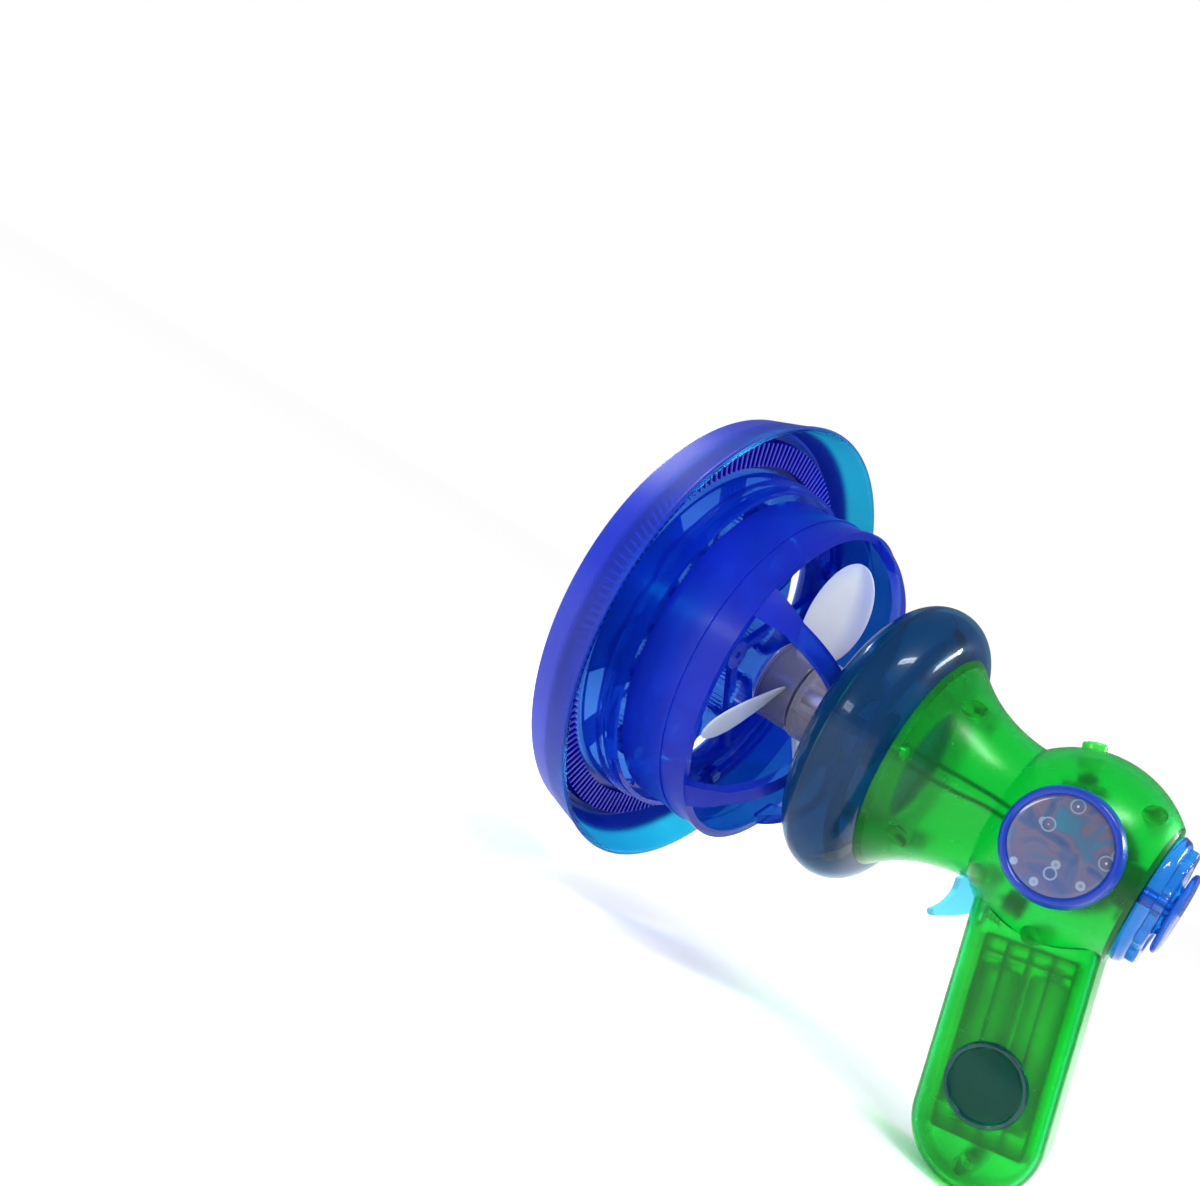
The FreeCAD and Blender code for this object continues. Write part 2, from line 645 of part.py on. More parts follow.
# ---- the collar
def collar_solid(inset):
    """The fat round collar, made smaller all round by an inset."""
    tube_radius = COLLAR_TUBE - inset
    front = collar_middle + tube_radius
    back = collar_middle - tube_radius
    outer = Vector(collar_middle, collar_ring + tube_radius, 0)
    diagonal = tube_radius / math.sqrt(2.0)
    edges = [line(Vector(front, 0, 0), Vector(front, collar_ring, 0)),
             Part.Arc(Vector(front, collar_ring, 0),
                      Vector(collar_middle + diagonal, collar_ring + diagonal, 0), outer),
             Part.Arc(outer, Vector(collar_middle - diagonal, collar_ring + diagonal, 0),
                      Vector(back, collar_ring, 0)),
             line(Vector(back, collar_ring, 0), Vector(back, 0, 0)),
             line(Vector(back, 0, 0), Vector(front, 0, 0))]
    return face_of(edges).revolve(Vector(0, 0, 0), X_AXIS, 360)


def lens_plugs(grow):
    """Oval bars through the collar's back where its three light windows are."""
    slope = 30.0
    radius = collar_ring + COLLAR_TUBE * math.sin(math.radians(slope))
    plugs = []
    for i in range(LENSES):
        oval = Part.Ellipse(Vector(0, 0, 0), LENS_LENGTH / 2.0 + grow, LENS_WIDTH / 2.0 + grow)
        plug = Part.Face(Part.Wire(oval.toShape())).extrude(Vector(0, 0, 12.0))
        plug.translate(Vector(0, 0, -6.0))
        plug.rotate(Vector(0, 0, 0), Y_AXIS, 90)
        plug.rotate(Vector(0, 0, 0), X_AXIS, 90)
        plug.rotate(Vector(0, 0, 0), Z_AXIS, -slope)
        back = collar_middle - COLLAR_TUBE * math.cos(math.radians(slope))
        plug.translate(Vector(back, radius, 0))
        plugs.append(turned(plug, 60.0 + 360.0 * i / LENSES))
    return plugs


def collar_shells():
    """Front and back shells of the collar, and its three flush light windows."""
    shell = collar_solid(0).cut(collar_solid(COLLAR_WALL))
    parting = collar_middle + COLLAR_PARTING
    lenses = [shell.common(plug) for plug in lens_plugs(0)]
    front = shell.common(disc(parting + SEAT, collar_front + 1, COLLAR_RADIUS + 5))
    front = front.cut(disc(collar_front - 5, collar_front + 5, MOTOR_RADIUS + SEAT))
    back = shell.common(disc(collar_back - 1, parting, COLLAR_RADIUS + 5))
    back = back.cut(disc(collar_back - 5, collar_back + 5, COLLAR_HOLE))
    back = back.cut(lens_plugs(SEAT))
    for post in collar_posts(POST_RADIUS, parting, collar_back + COLLAR_WALL / 2.0):
        back = back.fuse(post)
    for hole in collar_posts(SCREW_RADIUS + 0.3, parting + 1, collar_back - 1):
        back = back.cut(hole)
    for post in collar_posts(POST_RADIUS, collar_front - COLLAR_WALL / 2.0, parting + SEAT):
        front = front.fuse(post)
    for hole in collar_posts(SCREW_RADIUS, parting + 6.0, parting - 1):
        front = front.cut(hole)
    return front, back, lenses


def collar_posts(radius, front, back):
    """Round bars along X, halfway between the light windows."""
    circle = collar_ring - 6.0
    return [Part.makeCylinder(radius, front - back, polar(circle, 120.0 * i, back), X_AXIS) for i in range(3)]


def light_board():
    """A ring-shaped circuit board in the collar that carries the lights."""
    front = collar_middle - COLLAR_TUBE / 3.0
    return tube(front - BOARD_THICK, front, collar_ring + 6.0, collar_ring - 1.5)


def lights():
    """Three round-nosed lights that face the collar's windows."""
    front = collar_middle - COLLAR_TUBE / 3.0 - BOARD_THICK - SEAT
    lamps = []
    for i in range(LENSES):
        centre = polar(collar_ring + 2.5, 60.0 + 360.0 * i / LENSES, front)
        lamp = Part.makeCylinder(1.5, 1.6, centre, X_AXIS * -1)
        lamp = lamp.fuse(Part.makeSphere(1.5, centre - X_AXIS * 1.6))
        lamps.append(lamp.removeSplitter())
    return lamps


# ---- the body
def horn_solid(inset):
    """The flared horn between the collar and the ball."""
    front = collar_back - SEAT - inset
    first = Vector(front, HORN_FRONT_RADIUS - inset, 0)
    last = Vector(ball_x + BALL_RADIUS * 0.68, HORN_WAIST_RADIUS - inset, 0)
    centre = (first + last) * 0.5
    along = (last - first).normalize()
    middle = centre + Vector(-along.y, along.x, 0) * HORN_SAG
    edges = [Part.Arc(first, middle, last), line(last, Vector(ball_x, HORN_WAIST_RADIUS - inset, 0)),
             line(Vector(ball_x, HORN_WAIST_RADIUS - inset, 0), BALL), line(BALL, Vector(front, 0, 0)),
             line(Vector(front, 0, 0), first)]
    return face_of(edges).revolve(Vector(0, 0, 0), X_AXIS, 360)


def ball_solid(inset):
    """The round body with a flat back and flat sides."""
    ball = Part.makeSphere(BALL_RADIUS - inset, BALL)
    side = BALL_SIDE_FLAT - inset
    keep = block((ball_back + inset, -side, -FAR), (ball_x + FAR, side, FAR))
    return ball.common(keep)


def grip_solid(inset):
    """The pistol grip: a slot-shaped plate with rounded side edges, raked backwards."""
    half = GRIP_HALF_WIDTH - inset
    thick = GRIP_HALF_THICK - inset
    top = GRIP_LENGTH
    edges = [Part.Arc(Vector(-half, -thick, 0), Vector(0, -thick, -half), Vector(half, -thick, 0)),
             line(Vector(half, -thick, 0), Vector(half, -thick, top)),
             Part.Arc(Vector(half, -thick, top), Vector(0, -thick, top + half), Vector(-half, -thick, top)),
             line(Vector(-half, -thick, top), Vector(-half, -thick, 0))]
    plate = face_of(edges).extrude(Vector(0, 2 * thick, 0))
    rim = [edge for edge in plate.Edges if abs(abs(edge.CenterOfMass.y) - thick) < 0.001]
    return in_grip(plate.makeFillet(GRIP_EDGE - inset, rim))


def body_solid(inset):
    whole = ball_solid(inset).fuse([horn_solid(inset), grip_solid(inset)])
    return whole.removeSplitter()


def bay_sizes():
    """Inside half width, bottom and top of the battery bay, in the grip's frame."""
    half = CELL_GAP / 2.0 + 2 * CELL_RADIUS + BAY_SIDE
    length = CELL_LENGTH + CELL_NUB + 2 * BAY_END
    bottom = -5.0
    return half, bottom, bottom + length


def door_block(grow):
    """The region of the grip's right side that the battery door fills."""
    half, bottom, top = bay_sizes()
    half = half - BAY_SIDE + DOOR_MARGIN / 2.0 + grow
    low = (-half, -FAR, bottom + 3.0 - grow)
    high = (half, -CELL_SIDE_OFFSET - CELL_RADIUS / 2.0, top + BAY_WALL + DOOR_SCREW_UP + 4.5 + grow)
    return in_grip(block(low, high))


def door_screw_place():
    top = bay_sizes()[2]
    return grip_point(0, -GRIP_HALF_THICK, top + BAY_WALL + DOOR_SCREW_UP)


def body_posts():
    """Places (x, z) of the screws that hold the two shells together."""
    horn_x = collar_back - SEAT - BODY_WALL - POST_RADIUS - 6.0
    horn_z = HORN_FRONT_RADIUS - 17.5
    low = grip_point(0, 0, -(GRIP_HALF_WIDTH - BODY_WALL - POST_RADIUS) + 3.6)
    reach = BALL_RADIUS - BODY_WALL - POST_RADIUS
    return [(horn_x, horn_z), (horn_x, -horn_z), (ball_x - 0.55 * reach, 0.75 * reach), (low.x, low.z)]


def trigger_pin_place():
    reach = BALL_RADIUS - BODY_WALL - TRIGGER_BOSS - 0.4
    turn = math.radians(TRIGGER_ANGLE)
    return Vector(ball_x + reach * math.cos(turn), 0, reach * math.sin(turn))


def trigger_outline():
    """Side view of the trigger: a round boss at its pin and a curved fin for the finger."""
    pin = trigger_pin_place()
    boss = TRIGGER_BOSS

    def at(x, z):
        return Vector(pin.x + x, 0, pin.z + z)

    front_top, front_middle, tip_front = at(8.4, -6.5), at(7.9, -13.9), at(11.2, -20.7)
    tip_end, tip_back = at(10.4, -22.2), at(8.3, -21.8)
    back_middle, back_low, back_high = at(3.6, -19.0), at(-2.3, -14.0), at(-boss, -6.0)
    return [Part.Arc(at(-boss, 0), at(0, boss), at(boss, 0)), line(at(boss, 0), front_top),
            Part.Arc(front_top, front_middle, tip_front), Part.Arc(tip_front, tip_end, tip_back),
            Part.Arc(tip_back, back_middle, back_low), line(back_low, back_high),
            line(back_high, at(-boss, 0))]


def trigger_solid(half_thick):
    face = face_of(trigger_outline())
    face.translate(Vector(0, -half_thick, 0))
    return face.extrude(Vector(0, 2 * half_thick, 0))


def trigger():
    body = trigger_solid(TRIGGER_HALF_THICK)
    hole = rod(trigger_pin_place() - Y_AXIS * 20, Y_AXIS, PIN_RADIUS + RUN_FIT, 40)
    return body.cut(hole)


def trigger_slot():
    """The room that the trigger sweeps, with clearance, as a cut through the shells."""
    sweep = trigger_solid(TRIGGER_HALF_THICK + MOVE_GAP)
    pin = trigger_pin_place()
    copies = []
    for i in range(5):
        angle = -3.0 + i * (TRIGGER_TRAVEL + 6.0) / 4.0
        copies.append(turned(sweep, angle, pin, Y_AXIS))
    return copies[0].fuse(copies[1:])


BUTTON_AXIS = Rotation(Y_AXIS, BUTTON_TILT).multVec(Z_AXIS)


def on_button(distance):
    return BALL + BUTTON_AXIS * distance


def body_shells():
    """Left and right shells, with posts for the screws, the pin, the door and the boards."""
    outer = body_solid(0)
    shell = outer.cut(body_solid(BODY_WALL))
    bulkhead_hole = disc(collar_back - 10, collar_back + 1, COLLAR_HOLE)
    shell = shell.cut(bulkhead_hole)
    shell = shell.cut(collar_posts(SCREW_RADIUS + 0.3, collar_back + 1, collar_back - 5))
    shell = shell.cut(rod(on_button(0), BUTTON_AXIS, BUTTON_RADIUS + MOVE_GAP, BALL_RADIUS + 10))
    shell = shell.cut(disc(ball_back - 5, ball_back + 5, DIAL_SHAFT_RADIUS + RUN_FIT))
    slot = trigger_slot()
    shell = shell.cut(slot)
    left = shell.common(block((-FAR, SEAT / 2.0, -FAR), (0, FAR, FAR)))
    right = shell.common(block((-FAR, -FAR, -FAR), (0, -SEAT / 2.0, FAR)))
    right = right.cut(door_block(MOVE_GAP - 0.1))

    head_seat = 7.0
    for x, z in body_posts():
        centre = Vector(x, 0, z)
        post = rod(centre + Y_AXIS * SEAT / 2.0, Y_AXIS, POST_RADIUS, FAR).common(outer)
        left = left.fuse(post).cut(rod(centre, Y_AXIS, SCREW_RADIUS, 8.5))
        wide = POST_RADIUS + 0.6
        post = rod(centre - Y_AXIS * SEAT / 2.0, Y_AXIS * -1, wide, FAR).common(outer)
        right = right.fuse(post).cut(rod(centre, Y_AXIS * -1, SCREW_RADIUS + 0.3, FAR))
        right = right.cut(rod(centre - Y_AXIS * head_seat, Y_AXIS * -1, SCREW_HEAD_RADIUS + 0.3, FAR))

    pin = trigger_pin_place()
    start = TRIGGER_HALF_THICK + MOVE_GAP
    pin_hole = rod(pin - Y_AXIS * (start + 5.0), Y_AXIS, PIN_RADIUS, 2 * start + 10.0)
    left = left.fuse(rod(pin + Y_AXIS * start, Y_AXIS, POST_RADIUS, FAR).common(outer)).cut(pin_hole)
    right = right.fuse(rod(pin - Y_AXIS * start, Y_AXIS * -1, POST_RADIUS, FAR).common(outer)).cut(pin_hole)

    door_screw = door_screw_place()
    door_post = Vector(door_screw.x, -GRIP_HALF_THICK + BODY_WALL + MOVE_GAP, door_screw.z)
    left = left.fuse(rod(door_post, Y_AXIS, POST_RADIUS, FAR).common(outer))
    left = left.cut(rod(door_post - Y_AXIS, Y_AXIS, SCREW_RADIUS + RUN_FIT, 12.0))
    return left.removeSplitter(), right.removeSplitter()


def body_screws():
    return [screw(Vector(x, -7.0 - SEAT, z), Y_AXIS, 14.0) for x, z in body_posts()]


def collar_screws():
    """Three screws from inside the horn's bulkhead into the collar's front shell."""
    seat = collar_back - SEAT - BODY_WALL - SEAT
    length = collar_middle + COLLAR_PARTING + 5.0 - seat
    return [screw(polar(collar_ring - 6.0, 120.0 * i, seat), X_AXIS, length) for i in range(3)]


def badge(side):
    """A round bezel on the ball's flat side and the picture disc in it."""
    base = side * (BALL_SIDE_FLAT + SEAT)
    direction = Y_AXIS * side
    centre = Vector(ball_x, base, 0)
    bezel = rod(centre - direction * 3.0, direction, BADGE_RADIUS, BADGE_HEIGHT + 3.0)
    clear = Part.makeSphere(BALL_RADIUS + SEAT, BALL)
    limit = BALL_SIDE_FLAT + SEAT
    clear = clear.common(block((ball_x - FAR, -limit, -FAR), (ball_x + FAR, limit, FAR)))
    bezel = bezel.cut(clear)
    floor = BADGE_HEIGHT - BADGE_RECESS - BADGE_DISC_THICK
    inner = BADGE_RADIUS - BADGE_RIM
    bezel = bezel.cut(rod(centre + direction * floor, direction, inner, 20.0))
    picture = rod(centre + direction * (floor + SEAT), direction, inner - SEAT, BADGE_DISC_THICK)
    return bezel, picture


def handle_window():
    """A round window on the grip's left side: a rim and a slightly domed lens."""
    base = grip_point(0, GRIP_HALF_THICK + SEAT, WINDOW_ALONG)
    inner = WINDOW_RADIUS - WINDOW_RIM
    ring = rod(base, Y_AXIS, WINDOW_RADIUS, WINDOW_HEIGHT).cut(rod(base, Y_AXIS, inner, 10))
    crown = WINDOW_HEIGHT * 0.75
    dome_radius = inner * inner / (2.0 * crown)
    dome = Part.makeSphere(dome_radius, base - Y_AXIS * (dome_radius - crown - 0.5))
    lens = rod(base, Y_AXIS, inner - SEAT, 10).common(dome)
    return ring, lens


# ---- controls
def trigger_pin():
    half = TRIGGER_HALF_THICK + MOVE_GAP + 4.5
    return rod(trigger_pin_place() - Y_AXIS * half, Y_AXIS, PIN_RADIUS, 2 * half)


def trigger_spring():
    """A coil that pushes the trigger's lower back forwards."""
    pin = trigger_pin_place()
    return spring(Vector(pin.x - 11.5, 0, pin.z - 11.0), X_AXIS, 1.6, WIRE_RADIUS, 1.6, 7.0)


def trigger_switch():
    """A small switch behind the trigger, with a plunger that the trigger pushes."""
    pin = trigger_pin_place()
    half = SWITCH_SIZE / 2.0
    body = block((pin.x - 16.0, -half, pin.z - 7.5), (pin.x - 9.0, half, pin.z + 0.5))
    plunger = rod(Vector(pin.x - 9.0, 0, pin.z - 4.0), X_AXIS, 1.0, 2.4)
    return body.fuse(plunger)


def mode_button():
    """A round push button on top of the ball, with a flange that keeps it in."""
    inner = BALL_RADIUS - BODY_WALL
    start = inner - BUTTON_SKIRT
    top = BALL_RADIUS + BUTTON_PROUD
    stem = rod(on_button(start), BUTTON_AXIS, BUTTON_RADIUS, top - start)
    crown = [edge for edge in stem.Edges if (edge.CenterOfMass - on_button(top)).Length < 0.01]
    stem = stem.makeFillet(1.0, crown)
    flange_top = math.sqrt(inner * inner - (BUTTON_RADIUS + BUTTON_FLANGE) ** 2) - 0.4
    flange = rod(on_button(flange_top - 1.2), BUTTON_AXIS, BUTTON_RADIUS + BUTTON_FLANGE, 1.2)
    return stem.fuse(flange).removeSplitter()


def button_parts():
    """The switch under the button and the small board that carries it."""
    start = BALL_RADIUS - BODY_WALL - BUTTON_SKIRT - BUTTON_TRAVEL - 0.3
    plunger = rod(on_button(start - 1.0), BUTTON_AXIS, 1.6, 1.0)
    half = SWITCH_SIZE / 2.0
    body = block((-half, -half, -SWITCH_HEIGHT), (half, half, 0))
    body.Placement = Placement(on_button(start - 1.0), Rotation(Y_AXIS, BUTTON_TILT))
    board = block((-7.0, -9.0, -BOARD_THICK), (7.0, 9.0, 0))
    board.Placement = Placement(on_button(start - 1.0 - SWITCH_HEIGHT - SEAT), Rotation(Y_AXIS, BUTTON_TILT))
    return body.fuse(plunger), board


def rear_dial():
    """The round dial on the ball's back, with a waved grip edge."""
    start = ball_back - MOVE_GAP
    body_end = start - DIAL_DEPTH * 0.6
    flange_end = start - DIAL_DEPTH
    body = lathe([(start, 0), (start, DIAL_RADIUS - 0.6), (start - 0.8, DIAL_RADIUS),
                  (body_end + 1.0, DIAL_RADIUS - 0.8), (body_end, DIAL_RADIUS - 2.2), (body_end, 0)])
    grip_edge = lobed(flange_end, body_end, DIAL_RADIUS - 2.0, DIAL_LOBE, DIAL_LOBES)
    neck = disc(flange_end - DIAL_NECK, flange_end, DIAL_NECK_RADIUS)
    body = body.fuse([grip_edge, neck])
    return body.cut(disc(flange_end - 5, start + 1, DIAL_SHAFT_RADIUS)).removeSplitter()


def dial_cap():
    flange_end = ball_back - MOVE_GAP - DIAL_DEPTH - DIAL_NECK - SEAT
    return lobed(flange_end - DIAL_CAP_DEPTH, flange_end, DIAL_CAP_RADIUS, DIAL_LOBE * 0.6, DIAL_LOBES // 2)


def dial_shaft():
    back = ball_back - MOVE_GAP - DIAL_DEPTH - DIAL_NECK
    return disc(back, ball_back + BODY_WALL + 4.0, DIAL_SHAFT_RADIUS)


def speed_control():
    """The speed control behind the dial, which the dial's shaft turns in."""
    back = ball_back + BODY_WALL + SEAT
    body = disc(back, back + POT_LENGTH, POT_RADIUS)
    for i in (-1, 0, 1):
        tag = block((back + 2.0, i * 4.0 - 0.6, -POT_RADIUS - 4.0), (back + 2.6, i * 4.0 + 0.6, 0))
        body = body.fuse(tag)
    return body.cut(disc(back - 1, back + 4.5, DIAL_SHAFT_RADIUS + RUN_FIT)).removeSplitter()


def circuit_board():
    """The main board, and the chip and capacitors on it."""
    side = BALL_RADIUS / 3.0
    half = BALL_RADIUS * 0.42
    board = block((ball_x - half, side, -half * 0.8), (ball_x + half, side + BOARD_THICK, half * 0.8))
    chip = block((ball_x - 4.0, side - SEAT - 1.8, -4.0), (ball_x + 4.0, side - SEAT, 4.0))
    parts = [chip]
    for x in (-9.0, 9.0):
        parts.append(rod(Vector(ball_x + x, side - SEAT, 5.0), Y_AXIS * -1, 2.5, 5.0))
    return board, parts


# ---- power
def battery_bay():
    """An open tray for two cells side by side, with a rib between them."""
    half, bottom, top = bay_sizes()
    floor = -CELL_SIDE_OFFSET + CELL_RADIUS + 0.2
    rim = -CELL_SIDE_OFFSET - CELL_RADIUS - 0.8
    low = (-half - BAY_WALL, rim, bottom - BAY_WALL)
    bay = block(low, (half + BAY_WALL, floor + BAY_WALL, top + BAY_WALL))
    bay = bay.cut(block((-half, rim - 1, bottom), (half, floor, top)))
    rib = block((-0.5, rim + CELL_RADIUS, bottom - 0.5), (0.5, floor + 0.5, top + 0.5))
    return in_grip(bay.fuse(rib).removeSplitter())


def cells():
    """Two AA cells, one each way up."""
    start = bay_sizes()[1] + BAY_END
    places = CELL_GAP / 2.0 + CELL_RADIUS
    result = []
    for side in (1, -1):
        can = rod(Vector(side * places, -CELL_SIDE_OFFSET, start), Z_AXIS, CELL_RADIUS, CELL_LENGTH)
        nub_z = start + CELL_LENGTH if side > 0 else start - CELL_NUB
        nub = rod(Vector(side * places, -CELL_SIDE_OFFSET, nub_z), Z_AXIS, 2.6, CELL_NUB)
        result.append(in_grip(can.fuse(nub).removeSplitter()))
    return result


def contacts():
    """Coil contacts at the flat ends of the cells and plates at their nubs."""
    bottom = bay_sizes()[1]
    start = bottom + BAY_END
    end = start + CELL_LENGTH
    places = CELL_GAP / 2.0 + CELL_RADIUS
    height = BAY_END - 1.6
    low = spring(Vector(places, -CELL_SIDE_OFFSET, bottom + 0.9), Z_AXIS, 3.2, WIRE_RADIUS, 1.4, height - 0.1)
    high = spring(Vector(-places, -CELL_SIDE_OFFSET, end + 0.6), Z_AXIS, 3.2, WIRE_RADIUS, 1.4, height + 0.1)
    plates = []
    for side in (1, -1):
        nub_end = end + CELL_NUB + SEAT if side > 0 else start - CELL_NUB - SEAT - 0.4
        plates.append(in_grip(block((side * places - 5.0, -CELL_SIDE_OFFSET - 5.0, nub_end),
                                    (side * places + 5.0, -CELL_SIDE_OFFSET + 5.0, nub_end + 0.4))))
    return [in_grip(low), in_grip(high)], plates


def battery_door():
    """A piece of the grip's right side that lifts off, and the screw that holds it."""
    skin = grip_solid(0).cut(grip_solid(BODY_WALL))
    door = skin.common(door_block(0))
    place = door_screw_place()
    door = door.cut(rod(place - Y_AXIS * 5, Y_AXIS, SCREW_RADIUS + 0.15, 10))
    holder = screw(place - Y_AXIS * SEAT, Y_AXIS, BODY_WALL + 8.0)
    return door, holder


# ---- leads
def motor_leads():
    """Two leads from the main board through the horn and the collar to the motor."""
    leads = []
    end = motor_back - MOTOR_CAP_LENGTH - TAG_LENGTH - 0.2
    for side in (1, -1):
        points = [Vector(ball_x + BALL_RADIUS * 0.42 + 1.0, BALL_RADIUS / 3.0, side * 2.0),
                  Vector(ball_x + BALL_RADIUS * 0.42 + 14.0, BALL_RADIUS / 3.0 - 1.0, side * 2.0 + 1.0),
                  Vector(collar_back - 12.0, 6.0 + side, side * 3.0),
                  Vector(collar_middle - 3.0, side * 6.0, side * 2.4),
                  Vector(end - 3.0, side * TAG_OFFSET, 0.8),
                  Vector(end, side * TAG_OFFSET, 0.0)]
        leads.append(lead(points, LEAD_RADIUS))
    return leads


os.makedirs("parts", exist_ok=True)
save("outer_rim", outer_rim())
save("comb_ring", comb_ring())
save("wand_plate", wand_plate())
save("head_drum", head_drum())
save("cross_brace", cross_brace())
save("fan_guard", fan_guard())
save("head_screws", *head_screws())
save("fan_blades", fan_blades())
save("fan_nose_cap", fan_nose_cap())
save("motor_shaft", motor_shaft())
save("motor_can", motor_can())
save("motor_end_cap", motor_end_cap())
save("motor_housing", motor_housing())
save("motor_screws", *motor_screws())
front_shell, back_shell, window_lenses = collar_shells()
save("collar_front_shell", front_shell)
save("collar_back_shell", back_shell)
save("collar_lenses", *window_lenses)
save("collar_screws", *collar_screws())
save("light_board", light_board())
save("lights", *lights())
left, right = body_shells()
save("left_shell", left)
save("right_shell", right)
save("body_screws", *body_screws())
for side_name, side in (("left", 1), ("right", -1)):
    bezel, picture = badge(side)
    save("badge_bezel_" + side_name, bezel)
    save("badge_disc_" + side_name, picture)
window_ring, window_lens = handle_window()
save("handle_window_ring", window_ring)
save("handle_window_lens", window_lens)
save("trigger", trigger())
save("trigger_pin", trigger_pin())
save("trigger_spring", trigger_spring())
save("trigger_switch", trigger_switch())
save("mode_button", mode_button())
button_switch, button_board = button_parts()
save("button_switch", button_switch)
save("button_board", button_board)
save("rear_dial", rear_dial())
save("dial_cap", dial_cap())
save("dial_shaft", dial_shaft())
save("speed_control", speed_control())
board, board_parts = circuit_board()
save("circuit_board", board)
save("board_parts", *board_parts)
save("battery_bay", battery_bay())
cell_one, cell_two = cells()
save("battery_cell_1", cell_one)
save("battery_cell_2", cell_two)
contact_springs, contact_plates = contacts()
save("contact_springs", *contact_springs)
save("contact_plates", *contact_plates)
door, door_screw = battery_door()
save("battery_door", door)
save("battery_door_screw", door_screw)
save("motor_leads", *motor_leads())

for name, shape in made.items():
    box = shape.optimalBoundingBox()
    print("%-20s valid %s solids %d volume %9.1f  x %.1f..%.1f y %.1f..%.1f z %.1f..%.1f"
          % (name, shape.isValid(), len(shape.Solids), shape.Volume, box.XMin, box.XMax,
             box.YMin, box.YMax, box.ZMin, box.ZMax))
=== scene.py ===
"""Looks of a hand-held bubble machine: clear and frosted coloured plastics round its working parts.

All shapes are worked out in millimetres and put into their meshes in metres.
"""

import math

import bmesh
import bpy
import numpy as np
from mathutils import Matrix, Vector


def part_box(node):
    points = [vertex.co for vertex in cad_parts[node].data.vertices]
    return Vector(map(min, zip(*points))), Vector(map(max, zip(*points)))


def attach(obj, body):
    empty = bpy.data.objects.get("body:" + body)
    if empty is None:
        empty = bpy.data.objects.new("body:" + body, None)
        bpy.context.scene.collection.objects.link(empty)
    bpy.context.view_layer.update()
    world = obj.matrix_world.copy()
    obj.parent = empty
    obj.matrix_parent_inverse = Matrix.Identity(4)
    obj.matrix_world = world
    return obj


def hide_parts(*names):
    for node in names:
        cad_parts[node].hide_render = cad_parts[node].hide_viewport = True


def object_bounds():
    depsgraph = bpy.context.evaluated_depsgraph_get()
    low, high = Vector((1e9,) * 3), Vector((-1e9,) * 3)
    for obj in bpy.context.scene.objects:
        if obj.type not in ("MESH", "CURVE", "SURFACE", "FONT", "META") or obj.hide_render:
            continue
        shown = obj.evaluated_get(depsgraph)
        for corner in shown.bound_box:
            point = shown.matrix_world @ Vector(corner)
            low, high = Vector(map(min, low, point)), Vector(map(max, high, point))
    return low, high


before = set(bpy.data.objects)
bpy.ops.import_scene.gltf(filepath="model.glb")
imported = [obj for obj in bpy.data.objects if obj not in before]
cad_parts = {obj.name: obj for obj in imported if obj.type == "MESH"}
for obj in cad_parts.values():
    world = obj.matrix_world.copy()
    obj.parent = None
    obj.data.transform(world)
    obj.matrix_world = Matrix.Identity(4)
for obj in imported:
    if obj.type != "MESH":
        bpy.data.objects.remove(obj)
CAD_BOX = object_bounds()

bl_info = {
    "name": "Bubble Machine",
    "version": (1, 0, 0),
    "blender": (4, 5, 0),
    "location": "View3D > Sidebar > Bubble Machine",
    "description": "Builds the looks of a hand-held bubble machine",
    "category": "Add Mesh",
}

MM = 0.001
TAU = 2.0 * math.pi


# ---- places, read from the working parts
def span(node):
    """Lowest and highest corners of a working part, in millimetres."""
    low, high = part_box(node)
    return np.array(low) / MM, np.array(high) / MM


RIM_LOW, RIM_HIGH = span("outer_rim")
BADGE_LOW, BADGE_HIGH = span("badge_bezel_left")
WINDOW_LOW, WINDOW_HIGH = span("handle_window_ring")
FRONT_LOW, FRONT_HIGH = span("collar_front_shell")
BACK_HIGH = span("collar_back_shell")[1]
CAP_LOW, CAP_HIGH = span("fan_nose_cap")
DIAL_LOW, DIAL_HIGH = span("rear_dial")
CROWN_LOW, CROWN_HIGH = span("dial_cap")
BALL = np.array([(BADGE_LOW[0] + BADGE_HIGH[0]) / 2.0, 0.0, 0.0])
BALL_RADIUS = 36.2
BALL_INSIDE = 34.2
COLLAR_TUBE = 14.5
COLLAR_MIDDLE = FRONT_HIGH[0] - COLLAR_TUBE
COLLAR_RING = BACK_HIGH[1] - COLLAR_TUBE
BUTTON_TILT = math.radians(19.0)
BUTTON_AXIS = np.array([math.sin(BUTTON_TILT), 0.0, math.cos(BUTTON_TILT)])
GRIP_RAKE = math.radians(14.4)
GRIP_UP = np.array([math.sin(GRIP_RAKE), 0.0, math.cos(GRIP_RAKE)])
BLADE_HALF_CHORD = 14.5
BLADE_MIDDLE = 33.0
BLADE_HALF_LENGTH = 22.0
BLADE_PITCH = -28.0
CELL_LENGTH = 50.5
CELL_RADIUS = 7.25


# ---- sizes and colours that a user may change
class HeadSizes(bpy.types.PropertyGroup):
    """Sizes of the head, in millimetres."""
    rim_wall: bpy.props.FloatProperty(name="Rim wall", description="Thickness of the rim's wall, mm",
                                      default=2.0, min=0.5, max=5.0)
    rim_bead: bpy.props.FloatProperty(name="Rim bead", default=1.7, min=0.2, max=6.0,
                                      description="Width of the bead at the rim's rear edge, mm")
    fin_count: bpy.props.IntProperty(name="Fins", description="Number of fins in the comb ring",
                                     default=168, min=24, max=400)
    fin_share: bpy.props.FloatProperty(name="Fin share", default=0.40, min=0.1, max=0.9, subtype="FACTOR",
                                       description="Share of each fin's pitch that is solid")
    blade_camber: bpy.props.FloatProperty(name="Blade camber", description="How far a blade is cupped, mm",
                                          default=1.6, min=0.0, max=5.0)


